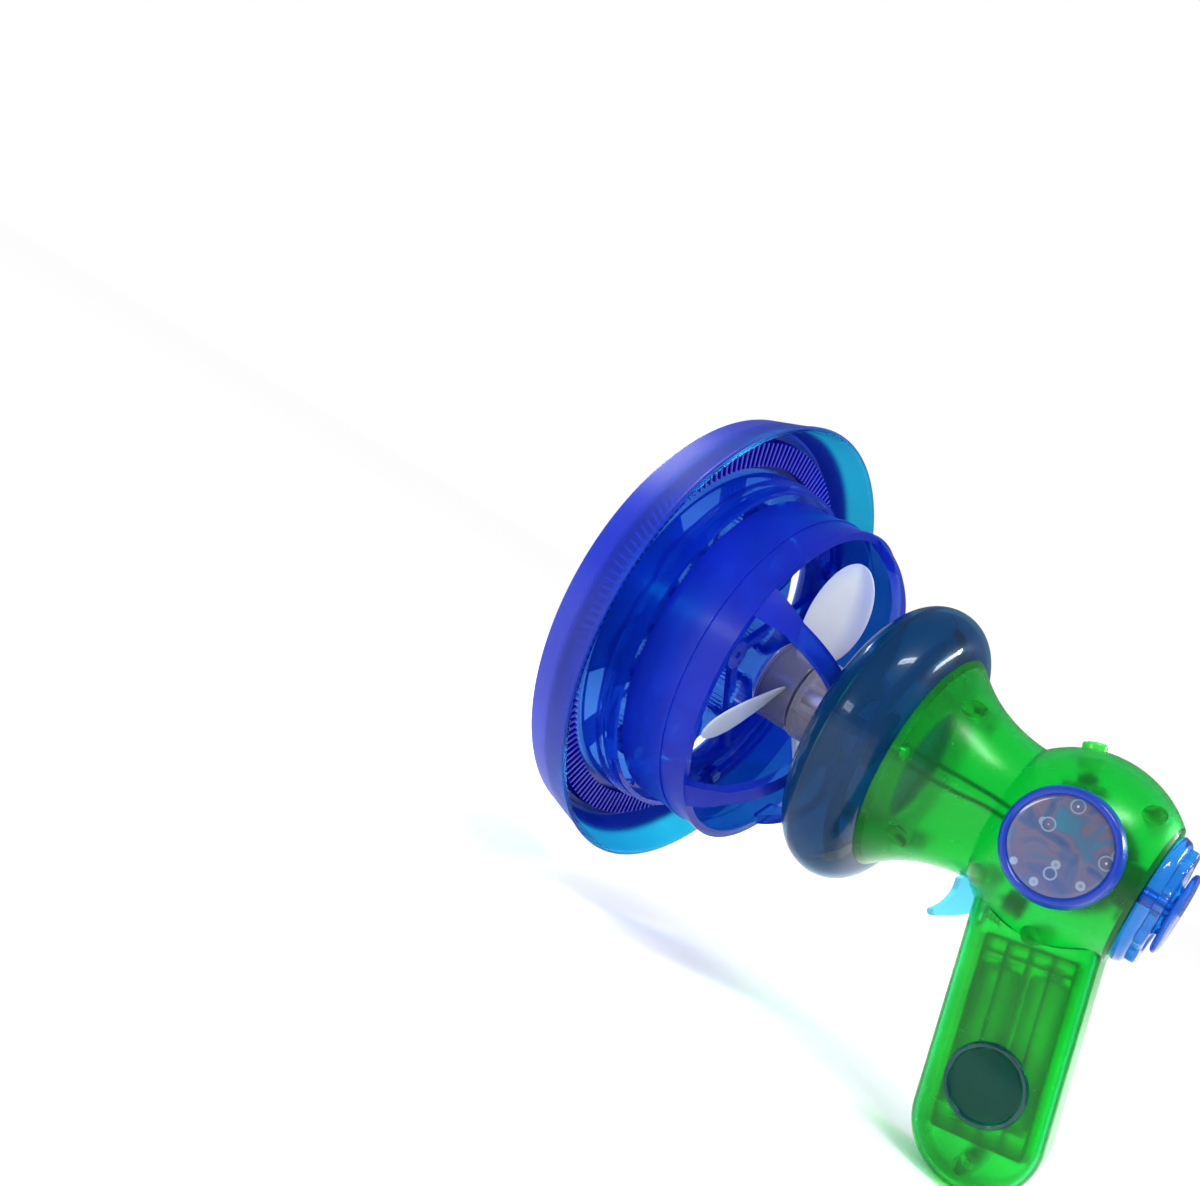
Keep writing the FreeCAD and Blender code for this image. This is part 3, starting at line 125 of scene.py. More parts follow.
class BodySizes(bpy.types.PropertyGroup):
    """Sizes of the collar, body and knobs, in millimetres."""
    collar_wall: bpy.props.FloatProperty(name="Collar wall", default=1.8, min=0.5, max=5.0,
                                         description="Thickness of the collar's shells, mm")
    badge_rim: bpy.props.FloatProperty(name="Badge rim", description="Width of the badge's rim, mm",
                                       default=3.5, min=1.0, max=8.0)
    window_rim: bpy.props.FloatProperty(name="Window rim", description="Width of the handle window's rim, mm",
                                        default=2.4, min=1.0, max=6.0)
    dial_lobes: bpy.props.IntProperty(name="Dial lobes", description="Number of waves round the dial's edge",
                                      default=10, min=3, max=40)


def colour(name, description, value):
    return bpy.props.FloatVectorProperty(name=name, description=description, default=value, size=4,
                                         min=0.0, max=1.0, subtype="COLOR")


class PlasticColours(bpy.types.PropertyGroup):
    """Colours of the plastics. A clear plastic's colour is what one of its surfaces lets through."""
    rim: colour("Rim", "Clear blue of the big rim", (0.02, 0.70, 0.98, 1.0))
    rim_skin: colour("Rim skin", "Deep blue scattered by the rim's satin outside", (0.006, 0.022, 0.42, 1.0))
    comb: colour("Comb", "Clear blue of the comb ring", (0.05, 0.14, 0.62, 1.0))
    # The fins' lavender is partly painted highlight: it stays only on their rear edges, and deeper in the
    # fins are painted dark navy as shade.
    fin: colour("Comb fins", "Hazy lavender blue of the fins' edges", (0.085, 0.065, 0.72, 1.0))
    plate: colour("Wand plate", "Clear blue of the wand plate", (0.05, 0.24, 0.80, 1.0))
    drum: colour("Drum", "Clear blue of the drum and its brace", (0.05, 0.24, 0.80, 1.0))
    guard: colour("Guard", "Clear blue of the fan guard", (0.01, 0.28, 0.88, 1.0))
    fan: colour("Fan", "Pale grey of the fan", (0.72, 0.76, 0.82, 1.0))
    collar: colour("Collar", "Clear teal of the collar", (0.004, 0.28, 0.55, 1.0))
    lens: colour("Windows", "Clear teal of the light windows", (0.01, 0.38, 0.50, 1.0))
    body: colour("Body", "Frosted green of the body", (0.010, 0.76, 0.17, 1.0))
    trigger: colour("Trigger", "Clear sky blue of the trigger", (0.09, 0.66, 0.90, 1.0))
    button: colour("Button", "Green of the push button", (0.02, 0.60, 0.05, 1.0))
    badge: colour("Badge rim", "Blue of the badges' rims", (0.01, 0.07, 0.55, 1.0))
    dial: colour("Dial", "Clear blue of the rear dial", (0.005, 0.32, 0.88, 1.0))


class StageSettings(bpy.types.PropertyGroup):
    """The floor and the lamps."""
    floor: colour("Floor", "Colour of the floor", (0.985, 0.985, 0.985, 1.0))
    lamp_power: bpy.props.FloatProperty(name="Lamp power", description="Power of the main lamp, in watts",
                                        default=9.0, min=0.0, max=500.0)
    sky: bpy.props.FloatProperty(name="Sky", description="Strength of the even light all round",
                                 default=1.0, min=0.0, max=5.0)
    gloss_sky: bpy.props.FloatProperty(name="Sky in gloss", default=0.2, min=0.0, max=1.0, subtype="FACTOR",
                                       description="Share of the sky that glossy faces mirror")


# ---- meshes
def grid(points, wrap_u, wrap_v):
    """Quads between the neighbours of a two-parameter grid of points, closed where a parameter wraps."""
    index = np.arange(points.shape[0] * points.shape[1]).reshape(points.shape[:2])
    if wrap_u:
        index = np.vstack([index, index[:1]])
    if wrap_v:
        index = np.hstack([index, index[:, :1]])
    quads = np.stack([index[:-1, :-1], index[1:, :-1], index[1:, 1:], index[:-1, 1:]], -1)
    return points.reshape(-1, 3), quads.reshape(-1, 4)


def joined(*parts):
    """Several parts as one."""
    starts = np.cumsum([0] + [len(points) for points, quads in parts[:-1]])
    return (np.concatenate([points for points, quads in parts]),
            np.concatenate([quads + start for (points, quads), start in zip(parts, starts)]))


def soft_outline(corners, cuts, steps=5):
    """A closed outline with each corner turned into a quadratic curve.

    The curve starts a cut's length before the corner, bends towards it and ends a cut's length after.
    """
    here = np.asarray(corners, float)
    cut = np.broadcast_to(np.asarray(cuts, float), len(here))[:, None]
    before = np.roll(here, 1, 0) - here
    after = np.roll(here, -1, 0) - here
    start = here + before / np.linalg.norm(before, axis=1)[:, None] * cut
    end = here + after / np.linalg.norm(after, axis=1)[:, None] * cut
    t = np.linspace(0.0, 1.0, steps)[None, :, None]
    curve = (1 - t) ** 2 * start[:, None] + 2 * t * (1 - t) * here[:, None] + t ** 2 * end[:, None]
    return curve.reshape(-1, 2)


def arc(centre, radius, first, last, steps=24):
    """Points at a radius from a centre, between two angles in degrees."""
    angle = np.radians(np.linspace(first, last, steps))
    return np.stack([centre[0] + radius * np.cos(angle), centre[1] + radius * np.sin(angle)], -1)


def lathe(outline, steps=160, wave=0.0, lobes=0, closed=True):
    """A closed outline of (x, r) turned about X: the point is (x, R cos a, R sin a).

    R is r, less the wave's depth times (1 - cos(lobes a)) / 2 in proportion to r over its largest value.
    """
    outline = np.asarray(outline, float)
    angle = np.linspace(0.0, TAU, steps, endpoint=False)[None, :]
    x, r = outline[:, 0:1], outline[:, 1:2]
    r = r - wave * (r / r.max()) * (1 - np.cos(lobes * angle)) / 2.0
    points = np.stack([x + 0 * angle, r * np.cos(angle), r * np.sin(angle)], -1)
    return grid(points, closed, True)


def turned_solid(outline, steps=160, **extra):
    """A lathe whose open outline starts and ends on the axis, which closes it."""
    return lathe(outline, steps, closed=False, **extra)


def frame_of(axis, up=(0.0, 0.0, 1.0)):
    """Three unit vectors: the axis, one across it, and the one square to both."""
    axis = np.asarray(axis, float) / np.linalg.norm(axis)
    across = np.cross(up, axis)
    across = across / np.linalg.norm(across)
    return np.stack([axis, across, np.cross(axis, across)])


def placed(part, origin, axis, up=(0.0, 0.0, 1.0)):
    """A part built along X, carried to an origin and an axis."""
    points, quads = part
    return points @ frame_of(axis, up) + np.asarray(origin, float), quads


def round_about(part, count, first=0.0):
    """Copies of a part turned about X by equal steps: y and z turn by a, x stays."""
    points, quads = part
    angle = math.radians(first) + np.arange(count)[:, None] * TAU / count
    x = np.broadcast_to(points[None, :, 0], (count, len(points)))
    y = points[None, :, 1] * np.cos(angle) - points[None, :, 2] * np.sin(angle)
    z = points[None, :, 1] * np.sin(angle) + points[None, :, 2] * np.cos(angle)
    many = (quads[None] + np.arange(count)[:, None, None] * len(points)).reshape(-1, 4)
    return np.stack([x, y, z], -1).reshape(-1, 3), many


def box_part(low, high):
    """The eight corners and six sides of a box."""
    corner = np.array([[i, j, k] for i in (0, 1) for j in (0, 1) for k in (0, 1)], float)
    points = np.asarray(low, float) + corner * (np.asarray(high, float) - np.asarray(low, float))
    quads = np.array([[0, 1, 3, 2], [4, 6, 7, 5], [0, 4, 5, 1], [2, 3, 7, 6], [0, 2, 6, 4], [1, 5, 7, 3]])
    return points, quads


def new_piece(name, part, material, body, *stands_for, slot=None, sharp=32.0, ends=()):
    """Puts a part into a mesh, closes its seams and poles, and makes it ride on a body."""
    points, quads = part
    mesh = bpy.data.meshes.new(name)
    loops = np.concatenate([quads.ravel()] + [np.asarray(end) for end in ends]).astype(np.int32)
    sizes = np.concatenate([np.full(len(quads), 4), [len(end) for end in ends]]).astype(np.int32)
    starts = np.concatenate([[0], np.cumsum(sizes)[:-1]]).astype(np.int32)
    mesh.vertices.add(len(points))
    mesh.vertices.foreach_set("co", (points * MM).ravel().astype(np.float32))
    mesh.loops.add(len(loops))
    mesh.loops.foreach_set("vertex_index", loops)
    mesh.polygons.add(len(sizes))
    mesh.polygons.foreach_set("loop_start", starts)
    mesh.update(calc_edges=True)
    mesh.validate()
    work = bmesh.new()
    work.from_mesh(mesh)
    bmesh.ops.remove_doubles(work, verts=work.verts, dist=2e-6)
    bmesh.ops.recalc_face_normals(work, faces=work.faces)
    work.to_mesh(mesh)
    work.free()
    mesh.shade_smooth()
    mesh.set_sharp_from_angle(angle=math.radians(sharp))
    piece = bpy.data.objects.new(name, mesh)
    bpy.context.scene.collection.objects.link(piece)
    mesh.materials.append(material)
    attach(piece, body)
    if stands_for:
        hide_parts(*stands_for)
    return piece


def finish_node(material, *nodes):
    """Gives working parts that show as they are a material."""
    for node in nodes:
        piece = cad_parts[node]
        for place in piece.material_slots:
            place.link = "OBJECT"
            place.material = material


# ---- materials
class Wire:
    """A node's output that can be used in sums."""

    def __init__(self, recipe, socket):
        self.recipe = recipe
        self.socket = socket

    def sum_of(self, how, left, right):
        return self.recipe.node("ShaderNodeMath", {"operation": how}, {0: left, 1: right})

    def __add__(self, other):
        return self.sum_of("ADD", self, other)

    __radd__ = __add__

    def __sub__(self, other):
        return self.sum_of("SUBTRACT", self, other)

    def __rsub__(self, other):
        return self.sum_of("SUBTRACT", other, self)

    def __mul__(self, other):
        return self.sum_of("MULTIPLY", self, other)

    __rmul__ = __mul__

    def step(self, low, high):
        """0 below low, 1 above high and smooth between."""
        return self.recipe.node("ShaderNodeMapRange", {"interpolation_type": "SMOOTHSTEP"},
                                {"Value": self, "From Min": low, "From Max": high})


class Recipe:
    """A material and the one way that nodes are added to it."""

    def __init__(self, name):
        self.material = bpy.data.materials.new(name)
        self.material.use_nodes = True
        self.tree = self.material.node_tree
        self.tree.nodes.clear()
        self.place = self.node("ShaderNodeTexCoord", out="Object")

    def node(self, kind, settings=None, feeds=None, out=0):
        """Adds a node: its settings first, then the values or links of its sockets."""
        made = self.tree.nodes.new(kind)
        for key, value in (settings or {}).items():
            if key == "stops":
                ramp = made.color_ramp
                while len(ramp.elements) < len(value):
                    ramp.elements.new(0.5)
                for stop, (at, shade) in zip(ramp.elements, value):
                    stop.position = at
                    stop.color = shade
            else:
                setattr(made, key, value)
        for key, value in (feeds or {}).items():
            if isinstance(value, Wire):
                self.tree.links.new(value.socket, made.inputs[key])
            else:
                made.inputs[key].default_value = value
        return Wire(self, made.outputs[out])

    def stretched(self, scale, move=(0.0, 0.0, 0.0), turn=(0.0, 0.0, 0.0)):
        """The place on the piece, moved, turned and scaled."""
        return self.node("ShaderNodeMapping", {"vector_type": "POINT"},
                         {"Vector": self.place, "Location": move, "Rotation": turn, "Scale": scale})

    def cloud(self, scale, detail=3.0, place=None, bend=0.0):
        """Soft noise between 0 and 1."""
        return self.node("ShaderNodeTexNoise", {"noise_dimensions": "3D"},
                         {"Vector": place or self.place, "Scale": scale, "Detail": detail,
                          "Distortion": bend})

    def coordinates(self, vector):
        """The X, Y and Z of a vector, each by itself."""
        parts = self.node("ShaderNodeSeparateXYZ", None, {0: vector}).socket.node.outputs
        return [Wire(self, parts[letter]) for letter in "XYZ"]

    def blend(self, share, first, second):
        """A colour between two, by a share."""
        return self.node("ShaderNodeMix", {"data_type": "RGBA", "clamp_factor": True},
                         {0: share, 6: first, 7: second}, out=2)

    def bump(self, height, strength, distance=0.0003, under=None):
        feeds = {"Strength": strength, "Distance": distance, "Height": height}
        if under is not None:
            feeds["Normal"] = under
        return self.node("ShaderNodeBump", None, feeds)

    def done(self, surface):
        end = self.tree.nodes.new("ShaderNodeOutputMaterial")
        self.tree.links.new(surface.socket, end.inputs["Surface"])
        return self.material


def shade(value, factor, lift=0.0):
    """A colour made darker or lighter."""
    return tuple(min(1.0, c * factor + lift) for c in value[:3]) + (1.0,)


def moulded_skin(recipe, rough, grain=900.0, depth=0.10):
    """Roughness and bump of moulded plastic: handling marks, fine grain and slow sink marks."""
    marks = recipe.cloud(1.0, 4.0, recipe.stretched((60.0, 900.0, 240.0), turn=(0.4, 0.3, 0.9)))
    marks = marks.step(0.60, 0.78)
    slow = recipe.cloud(26.0, 2.0)
    rough = rough + 0.05 * marks + 0.04 * (slow - 0.5)
    fine = recipe.bump(recipe.cloud(grain, 2.0), depth, 0.00012)
    return rough, recipe.bump(slow, 0.05, 0.004, fine)


SKIN_STEP = 0.3
SKIN_ROUGHNESS = 0.4
FRONT_START = -12.0
FRONT_END = -8.0
FRONT_VEIL = 0.92


def skin_outside(recipe, taper):
    """1 outside a cone about the barrel and 0 inside it: r + slope x passes the given radius there."""
    x, y, z = recipe.coordinates(recipe.place)
    across = recipe.node("ShaderNodeCombineXYZ", None, {1: y, 2: z})
    radius = recipe.node("ShaderNodeVectorMath", {"operation": "LENGTH"}, {0: across}, out="Value")
    slope, middle = taper
    return (radius + x * slope).step(middle * MM, (middle + SKIN_STEP) * MM)


def clear_plastic(name, tint, rough=0.06, grain=700.0, depth=0.05, ior=1.08, clear=1.0, deep=0.82,
                  gloss=0.8, gloss_rough=0.07, haze=None, veil=0.0, taper=None, edge=None):
    """Clear coloured plastic with slow streaks in its colour. Lamps shine through it.

    The haze is the colour the plastic scatters, and the veil is its share. With a taper, a slope and a radius
    in millimetres, only the skin outside that cone and the solid front are hazy. An edge, two places along
    the barrel in millimetres and a colour, turns the haze to that colour in front of them. This is painted
    light: behind the edge the haze shows as a painted highlight, and in front of it the colour is painted
    shade.
    """
    recipe = Recipe(name)
    streaks = recipe.cloud(14.0, 3.0, recipe.stretched((1.0, 1.0, 1.6)), bend=0.8)
    flecks = recipe.cloud(420.0, 2.0).step(0.62, 0.80)
    tone = recipe.blend(streaks.step(0.30, 0.70), shade(tint, deep), shade(tint, 1.0, 0.02))
    tone = recipe.blend(flecks * 0.06, tone, shade(tint, 0.95, 0.05))
    roughness, normal = moulded_skin(recipe, rough, grain, depth)
    glass = recipe.node("ShaderNodeBsdfPrincipled", None,
                        {"Base Color": tone, "Roughness": roughness, "Normal": normal, "IOR": ior,
                         "Transmission Weight": clear, "Coat Weight": gloss, "Coat Roughness": gloss_rough})
    if haze is not None:
        cloudy = recipe.blend(streaks.step(0.25, 0.75), shade(haze, 0.9), shade(haze, 1.06, 0.002))
        if edge is not None:
            # Painted light: behind the edge the haze stays as a painted highlight, and in front of it it
            # turns to painted shade.
            x = recipe.coordinates(recipe.place)[0]
            cloudy = recipe.blend(x.step(edge[0] * MM, edge[1] * MM), cloudy, edge[2])
        satin = recipe.node("ShaderNodeBsdfPrincipled", None,
                            {"Base Color": cloudy, "Roughness": 0.35 + 0.25 * roughness, "Normal": normal,
                             "Specular IOR Level": 0.2, "Coat Weight": gloss,
                             "Coat Roughness": gloss_rough + 0.12})
        share = veil
        if taper is not None:
            x = recipe.coordinates(recipe.place)[0]
            outside = skin_outside(recipe, taper)
            share = outside * veil
            front = x.step(FRONT_START * MM, FRONT_END * MM)
            share = share + front * (FRONT_VEIL - share)
            skin_rough = roughness + outside * SKIN_ROUGHNESS
            recipe.tree.links.new(skin_rough.socket, glass.socket.node.inputs["Roughness"])
        glass = recipe.node("ShaderNodeMixShader", None, {0: share, 1: glass, 2: satin})
    gap = recipe.node("ShaderNodeBsdfTransparent", None, {"Color": shade(tint, 0.9, 0.02)})
    lamp_ray = recipe.node("ShaderNodeLightPath", out="Is Shadow Ray")
    return recipe.done(recipe.node("ShaderNodeMixShader", None, {0: lamp_ray, 1: glass, 2: gap}))


def solid_plastic(name, tint, rough=0.32, grain=1200.0, depth=0.12, glow=0.0, spread=0.12):
    """Solid coloured plastic with slow shading and faint marks."""
    recipe = Recipe(name)
    slow = recipe.cloud(34.0, 3.0)
    tone = recipe.blend(slow.step(0.25, 0.75), shade(tint, 1.0 - spread), shade(tint, 1.0, 0.02))
    dust = recipe.cloud(900.0, 2.0).step(0.66, 0.80)
    tone = recipe.blend(dust * 0.12, tone, shade(tint, 0.8, 0.15))
    roughness, normal = moulded_skin(recipe, rough, grain, depth)
    return recipe.done(recipe.node("ShaderNodeBsdfPrincipled", None,
                                   {"Base Color": tone, "Roughness": roughness, "Normal": normal, "IOR": 1.46,
                                    "Subsurface Weight": glow, "Subsurface Scale": 0.004}))


def metal(name, tint, rough=0.28, across=(40.0, 1500.0, 1500.0)):
    """Drawn or turned metal with fine lines and small stains."""
    recipe = Recipe(name)
    lines = recipe.cloud(1.0, 3.0, recipe.stretched(across))
    stains = recipe.cloud(160.0, 4.0).step(0.45, 0.75)
    tone = recipe.blend(stains * 0.5, tint, shade(tint, 0.72))
    normal = recipe.bump(lines, 0.18, 0.0001)
    return recipe.done(recipe.node("ShaderNodeBsdfPrincipled", None,
                                   {"Base Color": tone, "Roughness": rough + 0.16 * lines + 0.14 * stains,
                                    "Metallic": 1.0, "Normal": normal}))


def picture_film(name, centre, reach):
    """A printed film for the badges: pink and brown swirls of a soap film, with pale rings of bubbles."""
    recipe = Recipe(name)
    at = recipe.stretched((1.0 / reach,) * 3, tuple(-c / reach for c in centre))
    side, _, height = recipe.coordinates(at)
    swirl = recipe.cloud(1.5, 2.0, at, bend=1.6)
    film = recipe.node("ShaderNodeValToRGB", {"stops": (
        (0.28, (0.02, 0.06, 0.19, 1.0)), (0.43, (0.06, 0.09, 0.20, 1.0)), (0.51, (0.13, 0.10, 0.16, 1.0)),
        (0.60, (0.06, 0.11, 0.21, 1.0)), (0.74, (0.03, 0.15, 0.24, 1.0)))}, {0: swirl})
    cells = recipe.node("ShaderNodeTexVoronoi", {"feature": "F1", "voronoi_dimensions": "3D"},
                        {"Vector": at, "Scale": 2.6, "Randomness": 0.85})
    ring = cells.step(0.24, 0.27) * (1.0 - cells.step(0.30, 0.33))
    glint = 1.0 - cells.step(0.03, 0.07)
    lower = height.step(-0.9, 0.3)
    tone = recipe.blend(0.55 * (1.0 - lower), film, (0.03, 0.05, 0.20, 1.0))
    tone = recipe.blend(ring * 0.40, tone, (0.45, 0.60, 0.75, 1.0))
    tone = recipe.blend(glint * 0.55, tone, (0.80, 0.78, 0.70, 1.0))
    sheen = recipe.cloud(3.0, 2.0, at)
    return recipe.done(recipe.node("ShaderNodeBsdfPrincipled", None,
                                   {"Base Color": tone, "Roughness": 0.14 + 0.12 * sheen + 0.02 * side,
                                    "Metallic": 0.25 + 0.2 * ring, "Normal": recipe.bump(swirl, 0.06, 0.0004),
                                    "Coat Weight": 0.6, "Coat Roughness": 0.05}))


def board_finish(name):
    """A green circuit board with copper runs and pads under its lacquer."""
    recipe = Recipe(name)
    runs = recipe.node("ShaderNodeTexBrick", {"offset": 0.5},
                       {"Vector": recipe.place, "Scale": 190.0, "Mortar Size": 0.05, "Color1": (0, 0, 0, 1),
                        "Color2": (0.2, 0.2, 0.2, 1), "Mortar": (1, 1, 1, 1)}, out="Fac")
    pads = recipe.node("ShaderNodeTexVoronoi", {"feature": "F1"}, {"Vector": recipe.place, "Scale": 260.0})
    pads = 1.0 - pads.step(0.16, 0.22)
    tone = recipe.blend(runs * 0.5, (0.01, 0.16, 0.05, 1.0), (0.03, 0.30, 0.10, 1.0))
    tone = recipe.blend(pads, tone, (0.62, 0.52, 0.30, 1.0))
    normal = recipe.bump(runs + pads, 0.3, 0.0002)
    return recipe.done(recipe.node("ShaderNodeBsdfPrincipled", None,
                                   {"Base Color": tone, "Roughness": 0.32 - 0.1 * pads,
                                    "Metallic": pads * 0.8, "Normal": normal}))


def cell_wrap(name, axis, top):
    """A cell's printed sleeve: a plain green body with a silvery band towards one end."""
    recipe = Recipe(name)
    depth = recipe.node("ShaderNodeVectorMath", {"operation": "DOT_PRODUCT"},
                        {0: recipe.place, 1: tuple(axis)}, out="Value")
    band = (depth - float(top)).step(-0.0005, 0.0)
    speck = recipe.cloud(700.0, 2.0).step(0.6, 0.8)
    tone = recipe.blend(band, (0.20, 0.80, 0.16, 1.0), (0.70, 0.72, 0.70, 1.0))
    tone = recipe.blend(speck * 0.15, tone, (0.5, 0.5, 0.5, 1.0))
    roughness, normal = moulded_skin(recipe, 0.30, 1500.0, 0.05)
    return recipe.done(recipe.node("ShaderNodeBsdfPrincipled", None,
                                   {"Base Color": tone, "Roughness": roughness, "Metallic": 0.25,
                                    "Normal": normal}))


class PieceOperator:
    """What the operators share: their sizes and colours."""
    bl_options = {"REGISTER", "UNDO"}

    @property
    def head(self):
        return bpy.context.scene.bubble_head

    @property
    def body(self):
        return bpy.context.scene.bubble_body

    @property
    def tint(self):
        return bpy.context.scene.bubble_colours


# ---- the head
class BUBBLE_OT_rim(PieceOperator, bpy.types.Operator):
    """The big tapered rim with a bead round its rear edge and a lip round its front"""
    bl_idname = "bubble.rim"
    bl_label = "Rim"

    def execute(self, context):
        back, front = RIM_LOW[0], RIM_HIGH[0]
        wide = RIM_HIGH[1]
        narrow = wide - 4.9
        lip_inside = narrow - 7.1
        wall, bead = self.head.rim_wall, self.head.rim_bead
        slope = (wide - narrow) / (front - back)
        step = 0.35
        outline = soft_outline(
            [(back, wide), (back + bead, wide - slope * bead),
             (back + bead + 0.25, wide - slope * bead - step),
             (front, narrow - step), (front, lip_inside), (front - 2.0, lip_inside),
             (front - 2.0, narrow - wall - step), (back, wide - wall)],
            [0.35, 0.18, 0.18, 0.9, 0.4, 0.3, 0.5, 0.35])
        middle = wide - wall / 2.0 - step / 2.0 + slope * back
        material = clear_plastic("clear_rim_blue", self.tint.rim, 0.05, ior=1.05, gloss=0.12,
                                 gloss_rough=0.25, haze=self.tint.rim_skin, veil=0.5,
                                 taper=(slope, middle))
        new_piece("rim_band", lathe(outline, 224), material, "toy", "outer_rim", slot="rim_blue")
        return {"FINISHED"}


class BUBBLE_OT_comb(PieceOperator, bpy.types.Operator):
    """The comb ring: a flat base with a dense ring of thin radial fins behind it"""
    bl_idname = "bubble.comb"
    bl_label = "Comb ring"

    def execute(self, context):
        low, high = span("comb_ring")
        outer, inner = high[1], high[1] - 14.3
        base_back = high[0] - 2.0
        base = soft_outline([(base_back, inner), (base_back, outer), (high[0], outer), (high[0], inner)],
                            0.25, 4)
        count = self.head.fin_count
        fin_radius = 79.0
        half = math.pi * fin_radius / count * self.head.fin_share
        fin = box_part((low[0], inner + 2.4, -half), (high[0] - 1.8, outer - 2.0, half))
        corners = fin[0]
        corners[:, 2] *= 1.0 - 0.25 * (corners[:, 0] < low[0] + 0.1)
        corners[:, 1] -= 0.8 * ((corners[:, 0] < low[0] + 0.1) & (corners[:, 1] > inner + 5))
        dark = clear_plastic("clear_comb_blue", self.tint.comb, 0.10, gloss=0.3,
                             haze=(0.000, 0.004, 0.26, 1.0), veil=0.7)
        # The fins' rear edges keep the pale lavender as a painted highlight, and from 0.1 to 0.6 mm in they
        # turn dark navy as painted shade between the fins.
        pale = clear_plastic("fin_blue_painted_highlight_and_shade", self.tint.fin, 0.20, gloss=0.2, haze=self.tint.fin, veil=0.85,
                             edge=(low[0] + 0.1, low[0] + 0.6, (0.001, 0.006, 0.26, 1.0)))
        new_piece("comb_base", lathe(base, 224), dark, "toy", "comb_ring", slot="comb_blue")
        new_piece("comb_fins", round_about(fin, count), pale, "toy", slot="comb_blue")
        return {"FINISHED"}


class BUBBLE_OT_head(PieceOperator, bpy.types.Operator):
    """Finishes of the wand plate, drum, brace and guard"""
    bl_idname = "bubble.head"
    bl_label = "Wand plate, drum and guard"

    def execute(self, context):
        milk = (0.001, 0.035, 0.50, 1.0)
        finish_node(clear_plastic("clear_plate_blue", self.tint.plate, 0.05, ior=1.06, gloss=0.4,
                                  haze=milk, veil=0.30), "wand_plate")
        finish_node(clear_plastic("clear_drum_blue", self.tint.drum, 0.05, ior=1.06, gloss=0.4,
                                  gloss_rough=0.12, haze=milk, veil=0.30), "head_drum", "cross_brace")
        finish_node(clear_plastic("clear_guard_blue", self.tint.guard, 0.07, ior=1.06, gloss=0.15,
                                  gloss_rough=0.2, haze=(0.003, 0.020, 0.44, 1.0), veil=0.55), "fan_guard")
        return {"FINISHED"}


def blade_part(camber, middle, angle):
    """One oval blade, a closed surface of two parameters.

    s runs from root to tip as the sine of an angle, and its half chord is the root of 1 - s squared.
    a runs round the section: across is the half chord times cos a, and the thickness follows sin a.
    The middle of the section is lifted by the camber, and the section is turned by the pitch, which eases
    towards the tip.
    """
    s = np.sin(np.linspace(-math.pi / 2, math.pi / 2, 41))[:, None]
    a = np.linspace(0.0, TAU, 40, endpoint=False)[None, :]
    chord = BLADE_HALF_CHORD * np.sqrt(np.clip(1.0 - s ** 2, 0.0, 1.0))
    across = chord * np.cos(a)
    thick = (0.95 - 0.25 * s) * np.sqrt(np.clip(1.0 - s ** 2, 0.0, 1.0)) ** 0.5 * np.sin(a)
    lift = thick + camber * (1.0 - (across / BLADE_HALF_CHORD) ** 2 - 0.6)
    pitch = np.radians(BLADE_PITCH + 3.0 * s)
    x = middle - np.sin(pitch) * across + np.cos(pitch) * lift
    tangent = np.cos(pitch) * across + np.sin(pitch) * lift
    radial = BLADE_MIDDLE + BLADE_HALF_LENGTH * s + 0 * a
    c, d = math.cos(angle), math.sin(angle)
    points = np.stack([x + 0 * a, radial * c + tangent * d, radial * d - tangent * c], -1)
    return grid(points, False, True)


class BUBBLE_OT_fan(PieceOperator, bpy.types.Operator):
    """The fan: three cupped oval blades on a cup-shaped hub, and the dome on its front"""
    bl_idname = "bubble.fan"
    bl_label = "Fan"

    def execute(self, context):
        front = CAP_LOW[0] - 0.05
        back = front - 15.2
        middle = (front + back) / 2.0
        radius, wall = 16.0, 1.6
        bore, boss = 1.05, 4.0
        hub = soft_outline([(back, bore), (back, boss), (front - wall, boss), (front - wall, radius - wall),
                            (back, radius - wall), (back, radius), (front, radius), (front, bore)],
                           [0.1, 0.3, 0.4, 0.4, 0.3, 0.5, 0.3, 0.1])
        angles = np.radians([90.0, 210.0, 330.0])
        blades = [blade_part(self.head.blade_camber, middle, a) for a in angles]
        pale = solid_plastic("pale_fan_plastic", self.tint.fan, 0.30, glow=0.25, spread=0.06)
        new_piece("fan_vanes", joined(*blades), pale, "fan", "fan_blades", slot="fan_white")
        hazy = clear_plastic("hazy_hub_grey", (0.42, 0.42, 0.56, 1.0), 0.16,
                             haze=(0.20, 0.20, 0.30, 1.0), veil=0.45)
        new_piece("fan_hub", lathe(hub, 96), hazy, "fan", slot="fan_white")
        start, tip = CAP_LOW[0], CAP_HIGH[0]
        reach = tip - start
        ball = (reach ** 2 + radius ** 2) / (2 * reach)
        half = math.degrees(math.asin(radius / ball))
        outside = arc((tip - ball, 0), ball, 0.0, half, 20)
        inside = arc((tip - ball, 0), ball - wall, half * 0.93, 0.0, 16)
        outside[-1, 0] += 0.25
        cap = np.concatenate([outside, [(start, radius - 0.15)], inside])
        milky = clear_plastic("hazy_dome", (0.42, 0.46, 0.78, 1.0), 0.3, clear=0.6)
        new_piece("fan_dome", turned_solid(cap, 96), milky, "fan", "fan_nose_cap", slot="motor_grey")
        finish_node(metal("bright_shaft", (0.75, 0.75, 0.77, 1.0), 0.18),
                    "motor_shaft", "trigger_pin", "dial_shaft")
        return {"FINISHED"}


